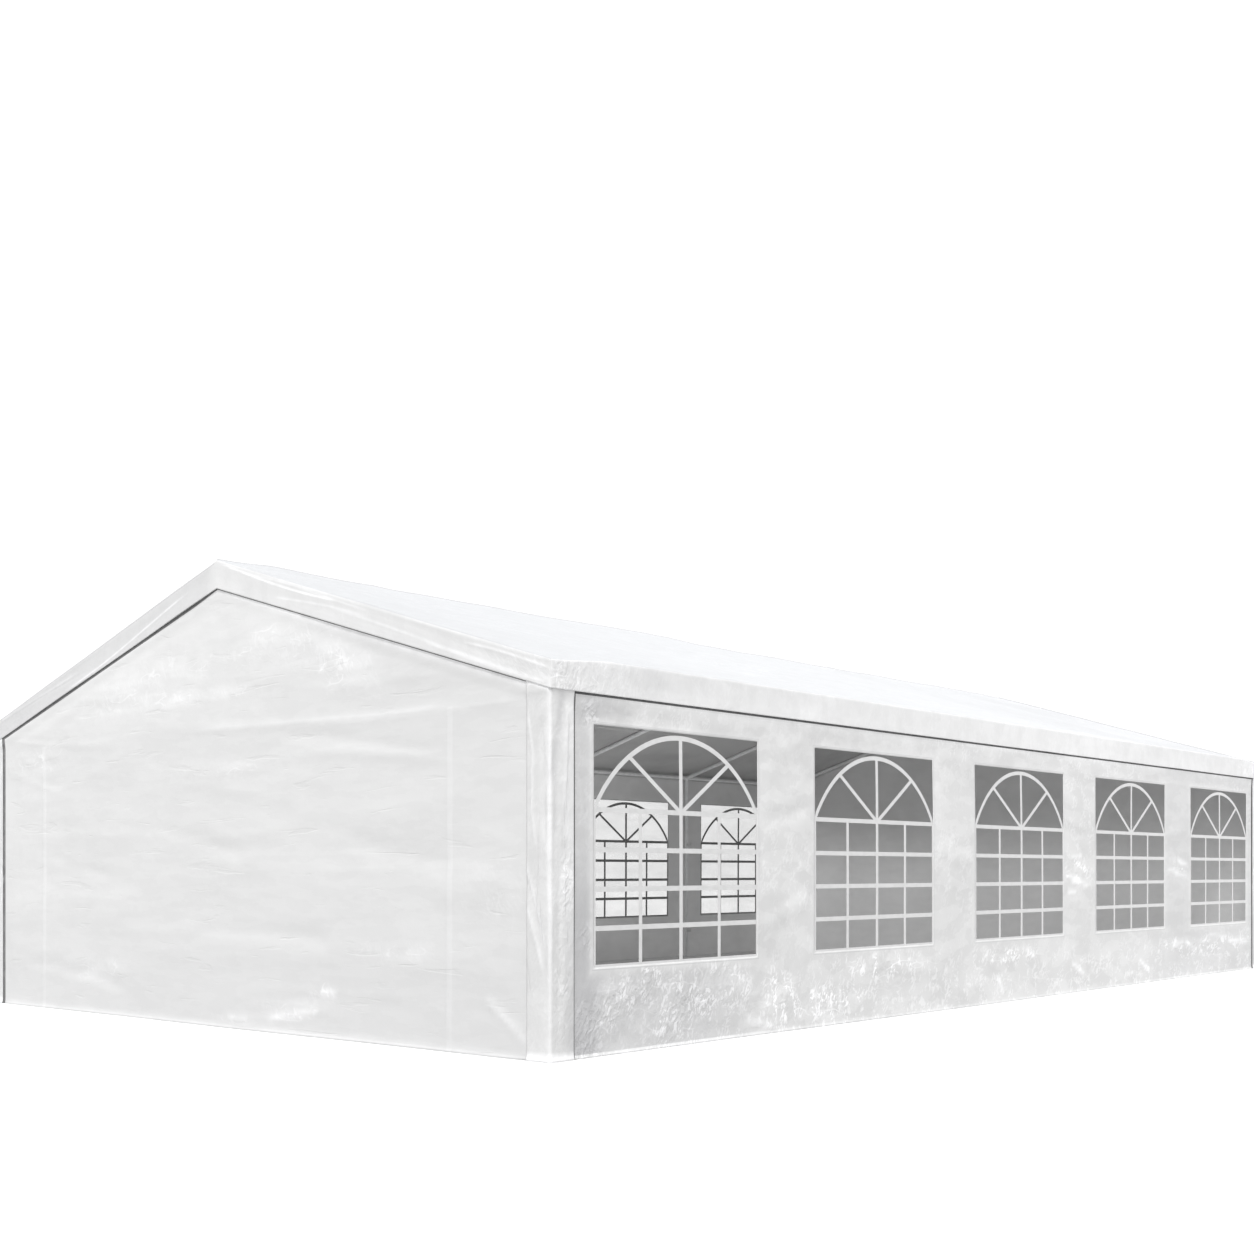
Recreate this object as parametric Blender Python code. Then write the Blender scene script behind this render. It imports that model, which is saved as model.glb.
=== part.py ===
"""Marquee tent: a frame of steel tubes under a white woven cover, with windows along both long sides.

Metres, +Z up. +X runs along the ridge and the origin is on the ground under the middle of the tent.
The front is the long side at -Y, the left gable is the end at -X.
"""

import math

import bmesh
import bpy
from mathutils import Matrix, Vector

# Frame: the axes of the tubes
BAYS = 5
BAY_LENGTH = 2.0
FRAME_WIDTH = 5.5
EAVE_AXIS_Z = 1.978
RIDGE_AXIS_Z = 2.812

# Tubes and their connectors
TUBE_RADIUS = 0.019
SLEEVE_RADIUS = 0.0215
SLEEVE_HALF_LENGTH = 0.085
STUB_LENGTH = 0.13
TUBE_SIDES = 16
FOOT_PLATE = 0.10
FOOT_THICKNESS = 0.004

# Cover, walls and corner covers
SHEET = 0.004
FIT_GAP = 0.0003
VALANCE_CLEARANCE = 0.006
VALANCE_BOTTOM_Z = 1.846
GABLE_VALANCE_APEX_Z = 2.662
WALL_TOP_Z = 1.962
GABLE_TOP_CLEARANCE = 0.015
CORNER_COVER_SIDE = 0.18
CORNER_COVER_END = 0.16

# Windows, one in the middle of each bay of a long wall
WINDOW_WIDTH = 1.41
WINDOW_BOTTOM_Z = 0.455
WINDOW_TOP_Z = 1.692
FILM = 0.002

# Places worked out from the driving dimensions
HALF_LENGTH = BAYS * BAY_LENGTH / 2
HALF_WIDTH = FRAME_WIDTH / 2
ROOF_RISE = (RIDGE_AXIS_Z - EAVE_AXIS_Z) / HALF_WIDTH
ROOF_STRETCH = math.sqrt(1.0 + ROOF_RISE**2)
FRAME_XS = [BAY_LENGTH * i - HALF_LENGTH for i in range(BAYS + 1)]
WINDOW_XS = [x + BAY_LENGTH / 2 for x in FRAME_XS[:-1]]

# Layers outside the tube axes: wall, corner cover, then valance
WALL_IN = SLEEVE_RADIUS + FIT_GAP
WALL_OUT = WALL_IN + SHEET
CORNER_IN = WALL_OUT + FIT_GAP
CORNER_OUT = CORNER_IN + SHEET
VALANCE_IN = CORNER_OUT + VALANCE_CLEARANCE
VALANCE_OUT = VALANCE_IN + SHEET


def roof_height(y, lift):
    """Height of a roof surface that lies `lift` outside the rafters' axes, at the distance y from the middle."""
    return EAVE_AXIS_Z + (HALF_WIDTH - abs(y)) * ROOF_RISE + lift * ROOF_STRETCH


def clear_scene():
    for obj in list(bpy.data.objects):
        bpy.data.objects.remove(obj, do_unlink=True)


def make_material(name, colour, roughness, metallic=0.0, alpha=1.0):
    material = bpy.data.materials.new(name)
    material.use_nodes = True
    shader = material.node_tree.nodes["Principled BSDF"]
    shader.inputs["Base Color"].default_value = (*colour, 1.0)
    shader.inputs["Roughness"].default_value = roughness
    shader.inputs["Metallic"].default_value = metallic
    shader.inputs["Alpha"].default_value = alpha
    return material


def mesh_object(name, verts, faces, material):
    """One object from points and faces, with every face turned outwards."""
    mesh = bpy.data.meshes.new(name)
    mesh.from_pydata(verts, [], faces)
    bm = bmesh.new()
    bm.from_mesh(mesh)
    bmesh.ops.recalc_face_normals(bm, faces=bm.faces)
    bm.to_mesh(mesh)
    bm.free()
    mesh.materials.append(material)
    obj = bpy.data.objects.new(name, mesh)
    bpy.context.scene.collection.objects.link(obj)
    return obj


def box(name, low, high, material):
    verts = [(x, y, z) for x in (low[0], high[0]) for y in (low[1], high[1]) for z in (low[2], high[2])]
    faces = [(0, 1, 3, 2), (4, 6, 7, 5), (0, 4, 5, 1), (2, 3, 7, 6), (0, 2, 6, 4), (1, 5, 7, 3)]
    return mesh_object(name, verts, faces, material)


def prism(name, outline, place, material):
    """A closed prism: place(u, v, end) gives the point of the outline's (u, v) at end 0 or 1."""
    count = len(outline)
    verts = [place(u, v, end) for end in (0, 1) for u, v in outline]
    faces = [tuple(range(count)), tuple(range(2 * count - 1, count - 1, -1))]
    faces += [(i, (i + 1) % count, (i + 1) % count + count, i + count) for i in range(count)]
    return mesh_object(name, verts, faces, material)


def stepped_tube(name, stations, start, direction, material):
    """A round bar along direction from start, whose radius changes at the stations (distance, radius)."""
    turn = Vector((0, 0, 1)).rotation_difference(Vector(direction)).to_matrix().to_4x4()
    place = Matrix.Translation(start) @ turn
    rings = []
    for distance, radius in stations:
        angles = [2 * math.pi * k / TUBE_SIDES for k in range(TUBE_SIDES)]
        rings.append([place @ Vector((radius * math.cos(a), radius * math.sin(a), distance)) for a in angles])
    verts = [point for ring in rings for point in ring]
    last = len(verts) - TUBE_SIDES
    faces = [tuple(range(TUBE_SIDES)), tuple(range(last, len(verts)))]
    for ring in range(len(rings) - 1):
        for k in range(TUBE_SIDES):
            a = ring * TUBE_SIDES + k
            b = ring * TUBE_SIDES + (k + 1) % TUBE_SIDES
            faces.append((a, b, b + TUBE_SIDES, a + TUBE_SIDES))
    obj = mesh_object(name, verts, faces, material)
    obj.data.shade_smooth()
    obj.data.set_sharp_from_angle(angle=math.radians(40))
    return obj


def bar(name, start, end, radius, material):
    """A plain round bar between two points."""
    span = Vector(end) - Vector(start)
    return stepped_tube(name, [(0.0, radius), (span.length, radius)], start, span.normalized(), material)


def fuse(base, others):
    """Joins overlapping bodies into the first one."""
    for other in others:
        union = base.modifiers.new(other.name, "BOOLEAN")
        union.operation = "UNION"
        union.solver = "EXACT"
        union.object = other
    bpy.context.view_layer.update()
    graph = bpy.context.evaluated_depsgraph_get()
    mesh = bpy.data.meshes.new_from_object(base.evaluated_get(graph))
    base.modifiers.clear()
    base.data = mesh
    for other in others:
        bpy.data.objects.remove(other, do_unlink=True)
    return base


def rafter_direction(side):
    """The way up a rafter from the eave at side -1 (front) or +1 (back)."""
    return Vector((0.0, -side, ROOF_RISE)) / ROOF_STRETCH


def sleeve_stations(xs):
    """Distances and radii along a rail: thick at each frame's connector, a tube between."""
    start = -HALF_LENGTH - SLEEVE_RADIUS
    stations = []
    for x in xs:
        low = max(x - SLEEVE_HALF_LENGTH, start)
        high = min(x + SLEEVE_HALF_LENGTH, -start)
        if low > start:
            stations += [(low - start, TUBE_RADIUS)]
        stations += [(low - start, SLEEVE_RADIUS), (high - start, SLEEVE_RADIUS)]
        if high < -start:
            stations += [(high - start, TUBE_RADIUS)]
    return stations


def make_eave_rail(name, side, steel):
    """The long eave tube of one side, with a connector at each frame for its post and its rafter."""
    y = side * HALF_WIDTH
    start = (-HALF_LENGTH - SLEEVE_RADIUS, y, EAVE_AXIS_Z)
    rail = stepped_tube(name, sleeve_stations(FRAME_XS), start, (1, 0, 0), steel)
    stubs = []
    for i, x in enumerate(FRAME_XS):
        centre = Vector((x, y, EAVE_AXIS_Z))
        down = centre - Vector((0, 0, STUB_LENGTH))
        up = centre + STUB_LENGTH * rafter_direction(side)
        stubs.append(bar(f"{name}_post_stub_{i}", centre, down, SLEEVE_RADIUS, steel))
        stubs.append(bar(f"{name}_rafter_stub_{i}", centre, up, SLEEVE_RADIUS, steel))
    return fuse(rail, stubs)


def make_ridge_rail(name, steel):
    """The ridge tube, with a connector at each frame for the two rafters."""
    start = (-HALF_LENGTH - SLEEVE_RADIUS, 0.0, RIDGE_AXIS_Z)
    rail = stepped_tube(name, sleeve_stations(FRAME_XS), start, (1, 0, 0), steel)
    stubs = []
    for i, x in enumerate(FRAME_XS):
        centre = Vector((x, 0.0, RIDGE_AXIS_Z))
        for side in (-1, 1):
            down = centre - STUB_LENGTH * rafter_direction(side)
            stubs.append(bar(f"{name}_stub_{i}_{side}", centre, down, SLEEVE_RADIUS, steel))
    return fuse(rail, stubs)


def make_post(name, x, side, steel):
    """A post on its foot plate. The plate lies inside the walls, so it is set inwards."""
    y = side * HALF_WIDTH
    reach = FOOT_PLATE - SLEEVE_RADIUS
    y_edges = sorted((y + side * SLEEVE_RADIUS, y - side * reach))
    if abs(x) == HALF_LENGTH:
        end = math.copysign(1.0, x)
        x_edges = sorted((x + end * SLEEVE_RADIUS, x - end * reach))
    else:
        x_edges = [x - FOOT_PLATE / 2, x + FOOT_PLATE / 2]
    top = EAVE_AXIS_Z - STUB_LENGTH - FIT_GAP
    post = bar(name, (x, y, FOOT_THICKNESS / 2), (x, y, top), TUBE_RADIUS, steel)
    low = (x_edges[0], y_edges[0], 0.0)
    high = (x_edges[1], y_edges[1], FOOT_THICKNESS)
    return fuse(post, [box(f"{name}_plate", low, high, steel)])


def make_rafter(name, x, side, steel):
    """A rafter between its eave connector and its ridge connector."""
    up = rafter_direction(side)
    eave = Vector((x, side * HALF_WIDTH, EAVE_AXIS_Z))
    ridge = Vector((x, 0.0, RIDGE_AXIS_Z))
    inset = (STUB_LENGTH + FIT_GAP) * up
    return bar(name, eave + inset, ridge - inset, TUBE_RADIUS, steel)


def make_roof_cover(name, cloth):
    """The roof sheet with its valances: two slopes, a straight valance on each side and a sloping one on each end.

    The shell has an outer and an inner skin of the same shape, joined along the valances' lower edges.
    """

    def skin(reach, lift):
        points = []
        for end in (-1, 1):
            x = end * (HALF_LENGTH + reach)
            half = HALF_WIDTH + reach
            points += [
                (x, -half, VALANCE_BOTTOM_Z),
                (x, -half, roof_height(half, lift)),
                (x, 0.0, roof_height(0.0, lift)),
                (x, half, roof_height(half, lift)),
                (x, half, VALANCE_BOTTOM_Z),
                (x, 0.0, GABLE_VALANCE_APEX_Z),
            ]
        return points

    outer = skin(VALANCE_OUT, SLEEVE_RADIUS + FIT_GAP + SHEET)
    inner = skin(VALANCE_IN, SLEEVE_RADIUS + FIT_GAP)
    count = len(outer)
    half_count = count // 2
    slopes = [(1, 2, half_count + 2, half_count + 1), (2, 3, half_count + 3, half_count + 2)]
    side_valances = [(0, 1, half_count + 1, half_count), (3, 4, half_count + 4, half_count + 3)]
    end_valances = [(0, 1, 2, 5), (5, 2, 3, 4)]
    end_valances += [tuple(i + half_count for i in quad) for quad in end_valances]
    skin_faces = slopes + side_valances + end_valances
    lower_edges = [(0, half_count), (4, half_count + 4), (0, 5), (5, 4)]
    lower_edges += [(half_count, half_count + 5), (half_count + 5, half_count + 4)]
    faces = skin_faces + [tuple(i + count for i in face) for face in skin_faces]
    faces += [(a, b, b + count, a + count) for a, b in lower_edges]
    return mesh_object(name, outer + inner, faces, cloth)


def make_window_wall(name, side, cloth):
    """One long wall, with an opening cut through it for each window."""
    half_window = WINDOW_WIDTH / 2
    reach = HALF_LENGTH + WALL_OUT
    xs = [-reach] + [x + edge for x in WINDOW_XS for edge in (-half_window, half_window)] + [reach]
    zs = [0.0, WINDOW_BOTTOM_Z, WINDOW_TOP_Z, WALL_TOP_Z]
    ys = (side * (HALF_WIDTH + WALL_IN), side * (HALF_WIDTH + WALL_OUT))

    def index(i, j, layer):
        return (layer * len(zs) + j) * len(xs) + i

    def is_cloth(i, j):
        inside = 0 <= i < len(xs) - 1 and 0 <= j < len(zs) - 1
        return inside and not (j == 1 and i % 2 == 1)

    verts = [(x, y, z) for y in ys for z in zs for x in xs]
    faces = []
    for i in range(len(xs) - 1):
        for j in range(len(zs) - 1):
            if not is_cloth(i, j):
                continue
            corners = [(i, j), (i + 1, j), (i + 1, j + 1), (i, j + 1)]
            faces += [tuple(index(a, b, layer) for a, b in corners) for layer in (0, 1)]
            neighbours = [(i, j - 1), (i + 1, j), (i, j + 1), (i - 1, j)]
            for k, neighbour in enumerate(neighbours):
                if not is_cloth(*neighbour):
                    p, q = corners[k], corners[(k + 1) % 4]
                    faces.append((index(*p, 0), index(*q, 0), index(*q, 1), index(*p, 1)))
    return mesh_object(name, verts, faces, cloth)


def make_gable_wall(name, end, cloth):
    """One end wall, from the ground up to just under the roof sheet."""
    half = HALF_WIDTH + WALL_IN - FIT_GAP
    lift = SLEEVE_RADIUS + FIT_GAP
    outline = [
        (-half, 0.0),
        (half, 0.0),
        (half, roof_height(half, lift) - GABLE_TOP_CLEARANCE),
        (0.0, roof_height(0.0, lift) - GABLE_TOP_CLEARANCE),
        (-half, roof_height(half, lift) - GABLE_TOP_CLEARANCE),
    ]
    xs = (end * (HALF_LENGTH + WALL_IN), end * (HALF_LENGTH + WALL_OUT))
    return prism(name, outline, lambda y, z, k: (xs[k], y, z), cloth)


def make_corner_cover(name, end, side, cloth):
    """The upright strip folded round one corner, over the ends of both walls."""
    x_in = end * (HALF_LENGTH + CORNER_IN)
    x_out = end * (HALF_LENGTH + CORNER_OUT)
    y_in = side * (HALF_WIDTH + CORNER_IN)
    y_out = side * (HALF_WIDTH + CORNER_OUT)
    x_edge = x_out - end * CORNER_COVER_SIDE
    y_edge = y_out - side * CORNER_COVER_END
    outline = [(x_out, y_out), (x_edge, y_out), (x_edge, y_in), (x_in, y_in), (x_in, y_edge), (x_out, y_edge)]
    zs = (0.0, WALL_TOP_Z)
    return prism(name, outline, lambda x, y, k: (x, y, zs[k]), cloth)


def make_window_film(name, x, side, film):
    """A clear sheet that fills one window opening."""
    half = WINDOW_WIDTH / 2 - FIT_GAP
    middle = HALF_WIDTH + (WALL_IN + WALL_OUT) / 2
    ys = sorted((side * (middle - FILM / 2), side * (middle + FILM / 2)))
    low = (x - half, ys[0], WINDOW_BOTTOM_Z + FIT_GAP)
    high = (x + half, ys[1], WINDOW_TOP_Z - FIT_GAP)
    return box(name, low, high, film)


def main():
    clear_scene()
    cloth = make_material("woven_cover", (0.86, 0.87, 0.88), 0.45)
    steel = make_material("frame_tube", (0.70, 0.71, 0.72), 0.35, metallic=0.8)
    film = make_material("window_film", (0.80, 0.83, 0.85), 0.10, alpha=0.35)

    make_roof_cover("roof_cover", cloth)
    make_ridge_rail("ridge_rail", steel)
    for side, side_name in ((-1, "front"), (1, "back")):
        make_eave_rail(f"eave_rail_{side_name}", side, steel)
        make_window_wall(f"window_wall_{side_name}", side, cloth)
        for i, x in enumerate(FRAME_XS, start=1):
            make_post(f"post_{side_name}_{i}", x, side, steel)
            make_rafter(f"rafter_{side_name}_{i}", x, side, steel)
        for i, x in enumerate(WINDOW_XS, start=1):
            make_window_film(f"window_film_{side_name}_{i}", x, side, film)
    for end, end_name in ((-1, "left"), (1, "right")):
        make_gable_wall(f"gable_wall_{end_name}", end, cloth)
        for side, side_name in ((-1, "front"), (1, "back")):
            make_corner_cover(f"corner_cover_{side_name}_{end_name}", end, side, cloth)


main()
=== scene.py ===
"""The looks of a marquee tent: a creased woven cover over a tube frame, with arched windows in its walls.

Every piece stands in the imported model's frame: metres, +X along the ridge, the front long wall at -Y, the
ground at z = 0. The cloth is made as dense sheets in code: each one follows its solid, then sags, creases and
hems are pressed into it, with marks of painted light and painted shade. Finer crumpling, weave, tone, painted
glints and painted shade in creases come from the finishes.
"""

from __future__ import annotations

import logging
import math
from collections.abc import Callable, Sequence
from dataclasses import dataclass, field
from enum import Enum

import bpy
import numpy as np
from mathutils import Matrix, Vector, noise
from mathutils.geometry import delaunay_2d_cdt


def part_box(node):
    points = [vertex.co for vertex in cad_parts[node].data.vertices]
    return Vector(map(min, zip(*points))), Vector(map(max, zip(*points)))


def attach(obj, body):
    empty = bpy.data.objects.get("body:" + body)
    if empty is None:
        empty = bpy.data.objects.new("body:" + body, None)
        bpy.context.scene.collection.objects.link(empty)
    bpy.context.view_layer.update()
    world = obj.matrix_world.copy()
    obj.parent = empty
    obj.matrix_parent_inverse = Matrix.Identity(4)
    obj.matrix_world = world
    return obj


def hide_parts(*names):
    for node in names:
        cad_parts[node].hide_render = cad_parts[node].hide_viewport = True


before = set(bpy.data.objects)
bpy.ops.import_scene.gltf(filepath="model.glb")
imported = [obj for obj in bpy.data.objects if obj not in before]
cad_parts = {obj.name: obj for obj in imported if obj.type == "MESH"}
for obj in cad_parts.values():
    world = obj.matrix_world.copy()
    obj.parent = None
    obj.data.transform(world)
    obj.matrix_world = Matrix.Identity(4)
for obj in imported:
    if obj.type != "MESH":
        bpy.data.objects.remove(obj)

LOG = logging.getLogger("marquee")
BODY = "root"
CRUMPLE = "crumple"
# The pale marks are mostly painted light and highlights; the dark ones are dark seams and painted shade
WHITE = "white"
SEAM_AND_SHADE = "seam"
CLOTH_MAP = "ClothMap"

# No length is divided by less than the shortest, steps may be a tiny bit longer than asked, places closer
# than a touch are one, and a zone that ends on a grid line is tested a hundredth past it
SHORTEST = 1e-9
TINY = 1e-6
TOUCH = 0.0001
PAST_LINE = 1.01
# How far the corner covers lie inside the roof's outline, and the walls' cloth inside their solids
COVER_INSET = 0.01
CLOTH_INSET = 0.0005

Grid = np.ndarray
Point = tuple[float, float]
Place = tuple[float, float, float]
Colour = tuple[float, float, float]
Window = tuple[float, float, float, float]
Rows = list[tuple[int, ...]]
Material = bpy.types.Material
Socket = bpy.types.NodeSocket
Tree = bpy.types.NodeTree
Piece = bpy.types.Object


class Side(Enum):
    """A long side of the tent; the value is the sign of its y."""

    FRONT = -1
    BACK = 1

    @property
    def label(self) -> str:
        """The side's word in the names of nodes and pieces."""
        return self.name.lower()


class End(Enum):
    """A gable end of the tent; the value is the sign of its x."""

    LEFT = -1
    RIGHT = 1

    @property
    def label(self) -> str:
        """The end's word in the names of nodes and pieces."""
        return self.name.lower()


class Grain(Enum):
    """Which way a cloth's marks lie.

    The values are pairs, for each metre across and up: its fine creases, its hairlines and its darker clouds.
    """

    LEVEL = ((2.0, 15.0), (2.2, 6.0), (0.7, 2.8))
    UPRIGHT = ((15.0, 2.0), (5.0, 2.2), (1.0, 1.7))
    EVEN = ((5.0, 6.0), (2.2, 6.0), (1.0, 1.7))


# Sizes read from the solid model


@dataclass(frozen=True)
class TentSizes:
    """The places of the solid model that the cloth follows, all in metres."""

    roof_half_length: float
    roof_half_width: float
    ridge_z: float
    eave_z: float
    valance_z: float
    valance_apex_z: float
    wall_half_length: float
    wall_half_width: float
    wall_top_z: float
    gable_half_length: float
    gable_half_width: float
    cover_long_leg: float
    cover_gable_leg: float
    bay_length: float
    bays: int

    @classmethod
    def from_frame(cls) -> TentSizes:
        """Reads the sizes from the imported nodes.

        Returns:
            The sizes, in metres.
        """
        roof_low, roof_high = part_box("roof_cover")
        wall_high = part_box("window_wall_back")[1]
        gable_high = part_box("gable_wall_right")[1]
        cover_low, cover_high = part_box("corner_cover_back_right")
        points = [v.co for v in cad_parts["roof_cover"].data.vertices]
        on_eave = [p.z for p in points if abs(abs(p.y) - roof_high[1]) < TOUCH]
        at_ends = [p for p in points if abs(abs(p.x) - roof_high[0]) < TOUCH]
        under_ridge = [p.z for p in at_ends if abs(p.y) < TOUCH]
        bays = sum(1 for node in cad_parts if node.startswith("window_film_back"))
        first, second = (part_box(f"window_film_back_{i}")[0][0] for i in (1, 2))
        return cls(
            roof_half_length=roof_high[0],
            roof_half_width=roof_high[1],
            ridge_z=roof_high[2],
            eave_z=max(on_eave),
            valance_z=roof_low[2],
            valance_apex_z=min(under_ridge),
            wall_half_length=wall_high[0],
            wall_half_width=wall_high[1],
            wall_top_z=wall_high[2],
            gable_half_length=gable_high[0],
            gable_half_width=gable_high[1],
            cover_long_leg=cover_high[0] - cover_low[0],
            cover_gable_leg=cover_high[1] - cover_low[1],
            bay_length=second - first,
            bays=bays,
        )

    @property
    def slope(self) -> float:
        """Rise of the roof for each metre towards the ridge."""
        return (self.ridge_z - self.eave_z) / self.roof_half_width

    @property
    def stretch(self) -> float:
        """Length along the slope for each metre of width."""
        return math.hypot(1.0, self.slope)

    def roof_z(self, y: Grid) -> Grid:
        """Height of the roof's outer face at the distance y from the middle."""
        return self.ridge_z - np.abs(y) * self.slope

    def valance_line(self, y: Grid) -> Grid:
        """Height of the gable valance's lower edge at the distance y from the middle."""
        drop = self.valance_apex_z - self.valance_z
        return self.valance_apex_z - drop * np.abs(y) / self.roof_half_width

    @property
    def long_cover_edge(self) -> float:
        """Distance of the corner covers' free edges on the long walls from the middle of the tent."""
        return self.roof_half_length - COVER_INSET - self.cover_long_leg

    @property
    def gable_cover_edge(self) -> float:
        """Distance of the corner covers' free edges on the gables from the middle of the tent."""
        return self.roof_half_width - COVER_INSET - self.cover_gable_leg


# Relief: heights and marks that are pressed into a sheet, the marks partly painted light and painted shade


def smooth_step(value: Grid, start: float, end: float) -> Grid:
    """0 before start and 1 after end, with a soft change between."""
    t = np.clip((value - start) / (end - start), 0.0, 1.0)
    return t * t * (3 - 2 * t)


def bell(value: Grid, centre: float, width: float) -> Grid:
    """A soft bump of height 1 at centre."""
    return np.exp(-(((value - centre) / width) ** 2))


@dataclass(frozen=True)
class Fade:
    """A soft change along a measure: where it starts, where it is full and how strong it gets."""

    start: float
    full: float
    strength: float = 1.0

    def at(self, measure: Grid) -> Grid:
        """0 before the start, rising to the strength where the fade is full."""
        return self.strength * smooth_step(measure, self.start, self.full)


@dataclass(frozen=True)
class Swell:
    """A soft bump along a measure: where its middle is, how far it reaches and how strong it is."""

    centre: float
    reach: float
    strength: float = 1.0

    def at(self, measure: Grid) -> Grid:
        """The strength at the middle, dying out on both sides."""
        return self.strength * bell(measure, self.centre, self.reach)


class Form(Enum):
    """What a layer of noise looks like, before it is given its height."""

    WAVES = "rolling waves, from about -1 to 1"
    CLOUDS = "separate clouds, from 0 to 1"
    BELLY = "a soft belly, more often out than in"
    RIDGES = "a net of thin ridges, 1 on each ridge and 0 away from them"
    FACETS = "crushed facets, from -0.4 in their middles to about 0.4 on the sharp folds between them"


NOISE_GAIN = 1.6
NOISE_SHIFT_V = 0.31
NOISE_SHIFT_DEEP = 0.17
RIDGE_POWER = 1.5
FACET_MIDDLE = 0.4
BELLY_OUT = 0.2
BELLY_LOW = -0.4
BELLY_HIGH = 1.2


@dataclass(frozen=True)
class Layer:
    """Noise that is pressed into a sheet or clouds its marks.

    Fields: its height, its waves for each metre both ways, its place in the noise, what it looks like, how
    narrow its ridges are, and how far it leans, as the shift of the first place for each metre of the second.
    """

    rise: float
    scale_u: float
    scale_v: float
    place: float
    form: Form = Form.WAVES
    sharp: float = 4.0
    lean: float = 0.0

    def lift(self, u: Grid, v: Grid, seed: float = 0.0) -> Grid:
        """The layer's height at each point.

        Args:
            u: first coordinate in metres.
            v: second coordinate in metres.
            seed: the sheet's own place in the noise, so that no two sheets are alike.

        Returns:
            Metres, or shares of a mark.
        """
        place = seed + self.place
        across, up = (u + self.lean * v) * self.scale_u + place, v * self.scale_v
        if self.form is Form.FACETS:
            places = zip(across.ravel(), up.ravel())
            cells = [noise.voronoi(Vector((a, b, place)))[0][0] for a, b in places]
            return self.rise * (np.array(cells).reshape(u.shape) - FACET_MIDDLE)
        places = zip(across.ravel(), (up + NOISE_SHIFT_V * place).ravel())
        waves = [noise.noise(Vector((a, b, NOISE_SHIFT_DEEP * place))) for a, b in places]
        waves = np.array(waves).reshape(u.shape) * NOISE_GAIN
        if self.form is Form.CLOUDS:
            waves = np.clip(waves, 0.0, 1.0)
        elif self.form is Form.BELLY:
            waves = (BELLY_OUT + waves).clip(BELLY_LOW, BELLY_HIGH)
        elif self.form is Form.RIDGES:
            waves = np.clip(1.0 - self.sharp * np.abs(waves), 0.0, 1.0) ** RIDGE_POWER
        return self.rise * waves


@dataclass(frozen=True)
class Patch:
    """A badly crumpled place in the cloth: its middle, its reach both ways, its strength and its lean."""

    u: float
    z: float
    reach_u: float
    reach_z: float
    strength: float
    lean: float = 0.0

    def weight(self, u: Grid, z: Grid) -> Grid:
        """How crumpled each point is, from 0 to the patch's strength.

        Args:
            u: places along the sheet.
            z: heights above the ground.

        Returns:
            Values from 0 to the strength.
        """
        turn = math.radians(self.lean)
        along = (u - self.u) * math.cos(turn) + (z - self.z) * math.sin(turn)
        across = (z - self.z) * math.cos(turn) - (u - self.u) * math.sin(turn)
        return self.strength * bell(along, 0.0, self.reach_u) * bell(across, 0.0, self.reach_z)


@dataclass(frozen=True)
class Crumpling:
    """How crumpled a wall is: its least, its foot's gain, its clouds, and how uneven and even a patch is."""

    least: float
    foot: Fade
    clouds: Layer
    uneven: Layer
    even: float = 0.75

    def at(self, patches: Sequence[Patch], u: Grid, z: Grid, own: Grid, seed: float) -> Grid:
        """How crumpled each point is.

        Args:
            patches: the badly crumpled places.
            u: places along the wall.
            z: heights above the ground.
            own: the places by which the patches are set.
            seed: the wall's place in the noise.

        Returns:
            Values from 0 to 1.
        """
        crumple = self.least + self.foot.at(-z) + self.clouds.lift(u, z, seed)
        patchy = self.even + self.uneven.lift(u, z, seed)
        for patch in patches:
            crumple = crumple + patch.weight(own, z) * patchy
        return np.clip(crumple, 0.0, 1.0)


@dataclass(frozen=True)
class FoldLine:
    """A long crease from one place to another.

    Fields: where it starts and ends, its width, how far it is raised, and how pale it is painted, as a
    painted highlight on its ridge; below 0, how dark, as painted shade along it.
    """

    from_u: float
    from_z: float
    to_u: float
    to_z: float
    width: float
    rise: float
    white: float = 0.0

    def weight(self, u: Grid, z: Grid) -> Grid:
        """1 on the crease, dying out beside it and at its two ends.

        Args:
            u: places along the sheet.
            z: heights above its foot.

        Returns:
            Values from 0 to 1.
        """
        a, b = np.array((self.from_u, self.from_z)), np.array((self.to_u, self.to_z))
        run = b - a
        length = float(np.hypot(*run))
        along = ((u - a[0]) * run[0] + (z - a[1]) * run[1]) / length**2
        across = ((z - a[1]) * run[0] - (u - a[0]) * run[1]) / length
        bend = FOLD_BEND * length * np.sin(FOLD_TURN * along + FOLD_SHIFT * a[0])
        ends = FOLD_END.at(along) * FOLD_END.at(1.0 - along)
        return bell(across - bend, 0.0, self.width) * ends


FOLD_BEND = 0.02
FOLD_TURN = 3.1
FOLD_SHIFT = 7.0
FOLD_END = Fade(-0.02, 0.12)
FLARE_REACH = 0.012
FLARE_HEIGHT = 0.05


def flared(z: Grid) -> Grid:
    """1 at the foot of a wall, dying out just above the ground."""
    return np.exp(-z / FLARE_REACH) * (z < FLARE_HEIGHT)


def each(kind: type, *rows: tuple[float, ...]) -> tuple:
    """One patch or crease for each row of its numbers."""
    return tuple(kind(*row) for row in rows)


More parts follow.
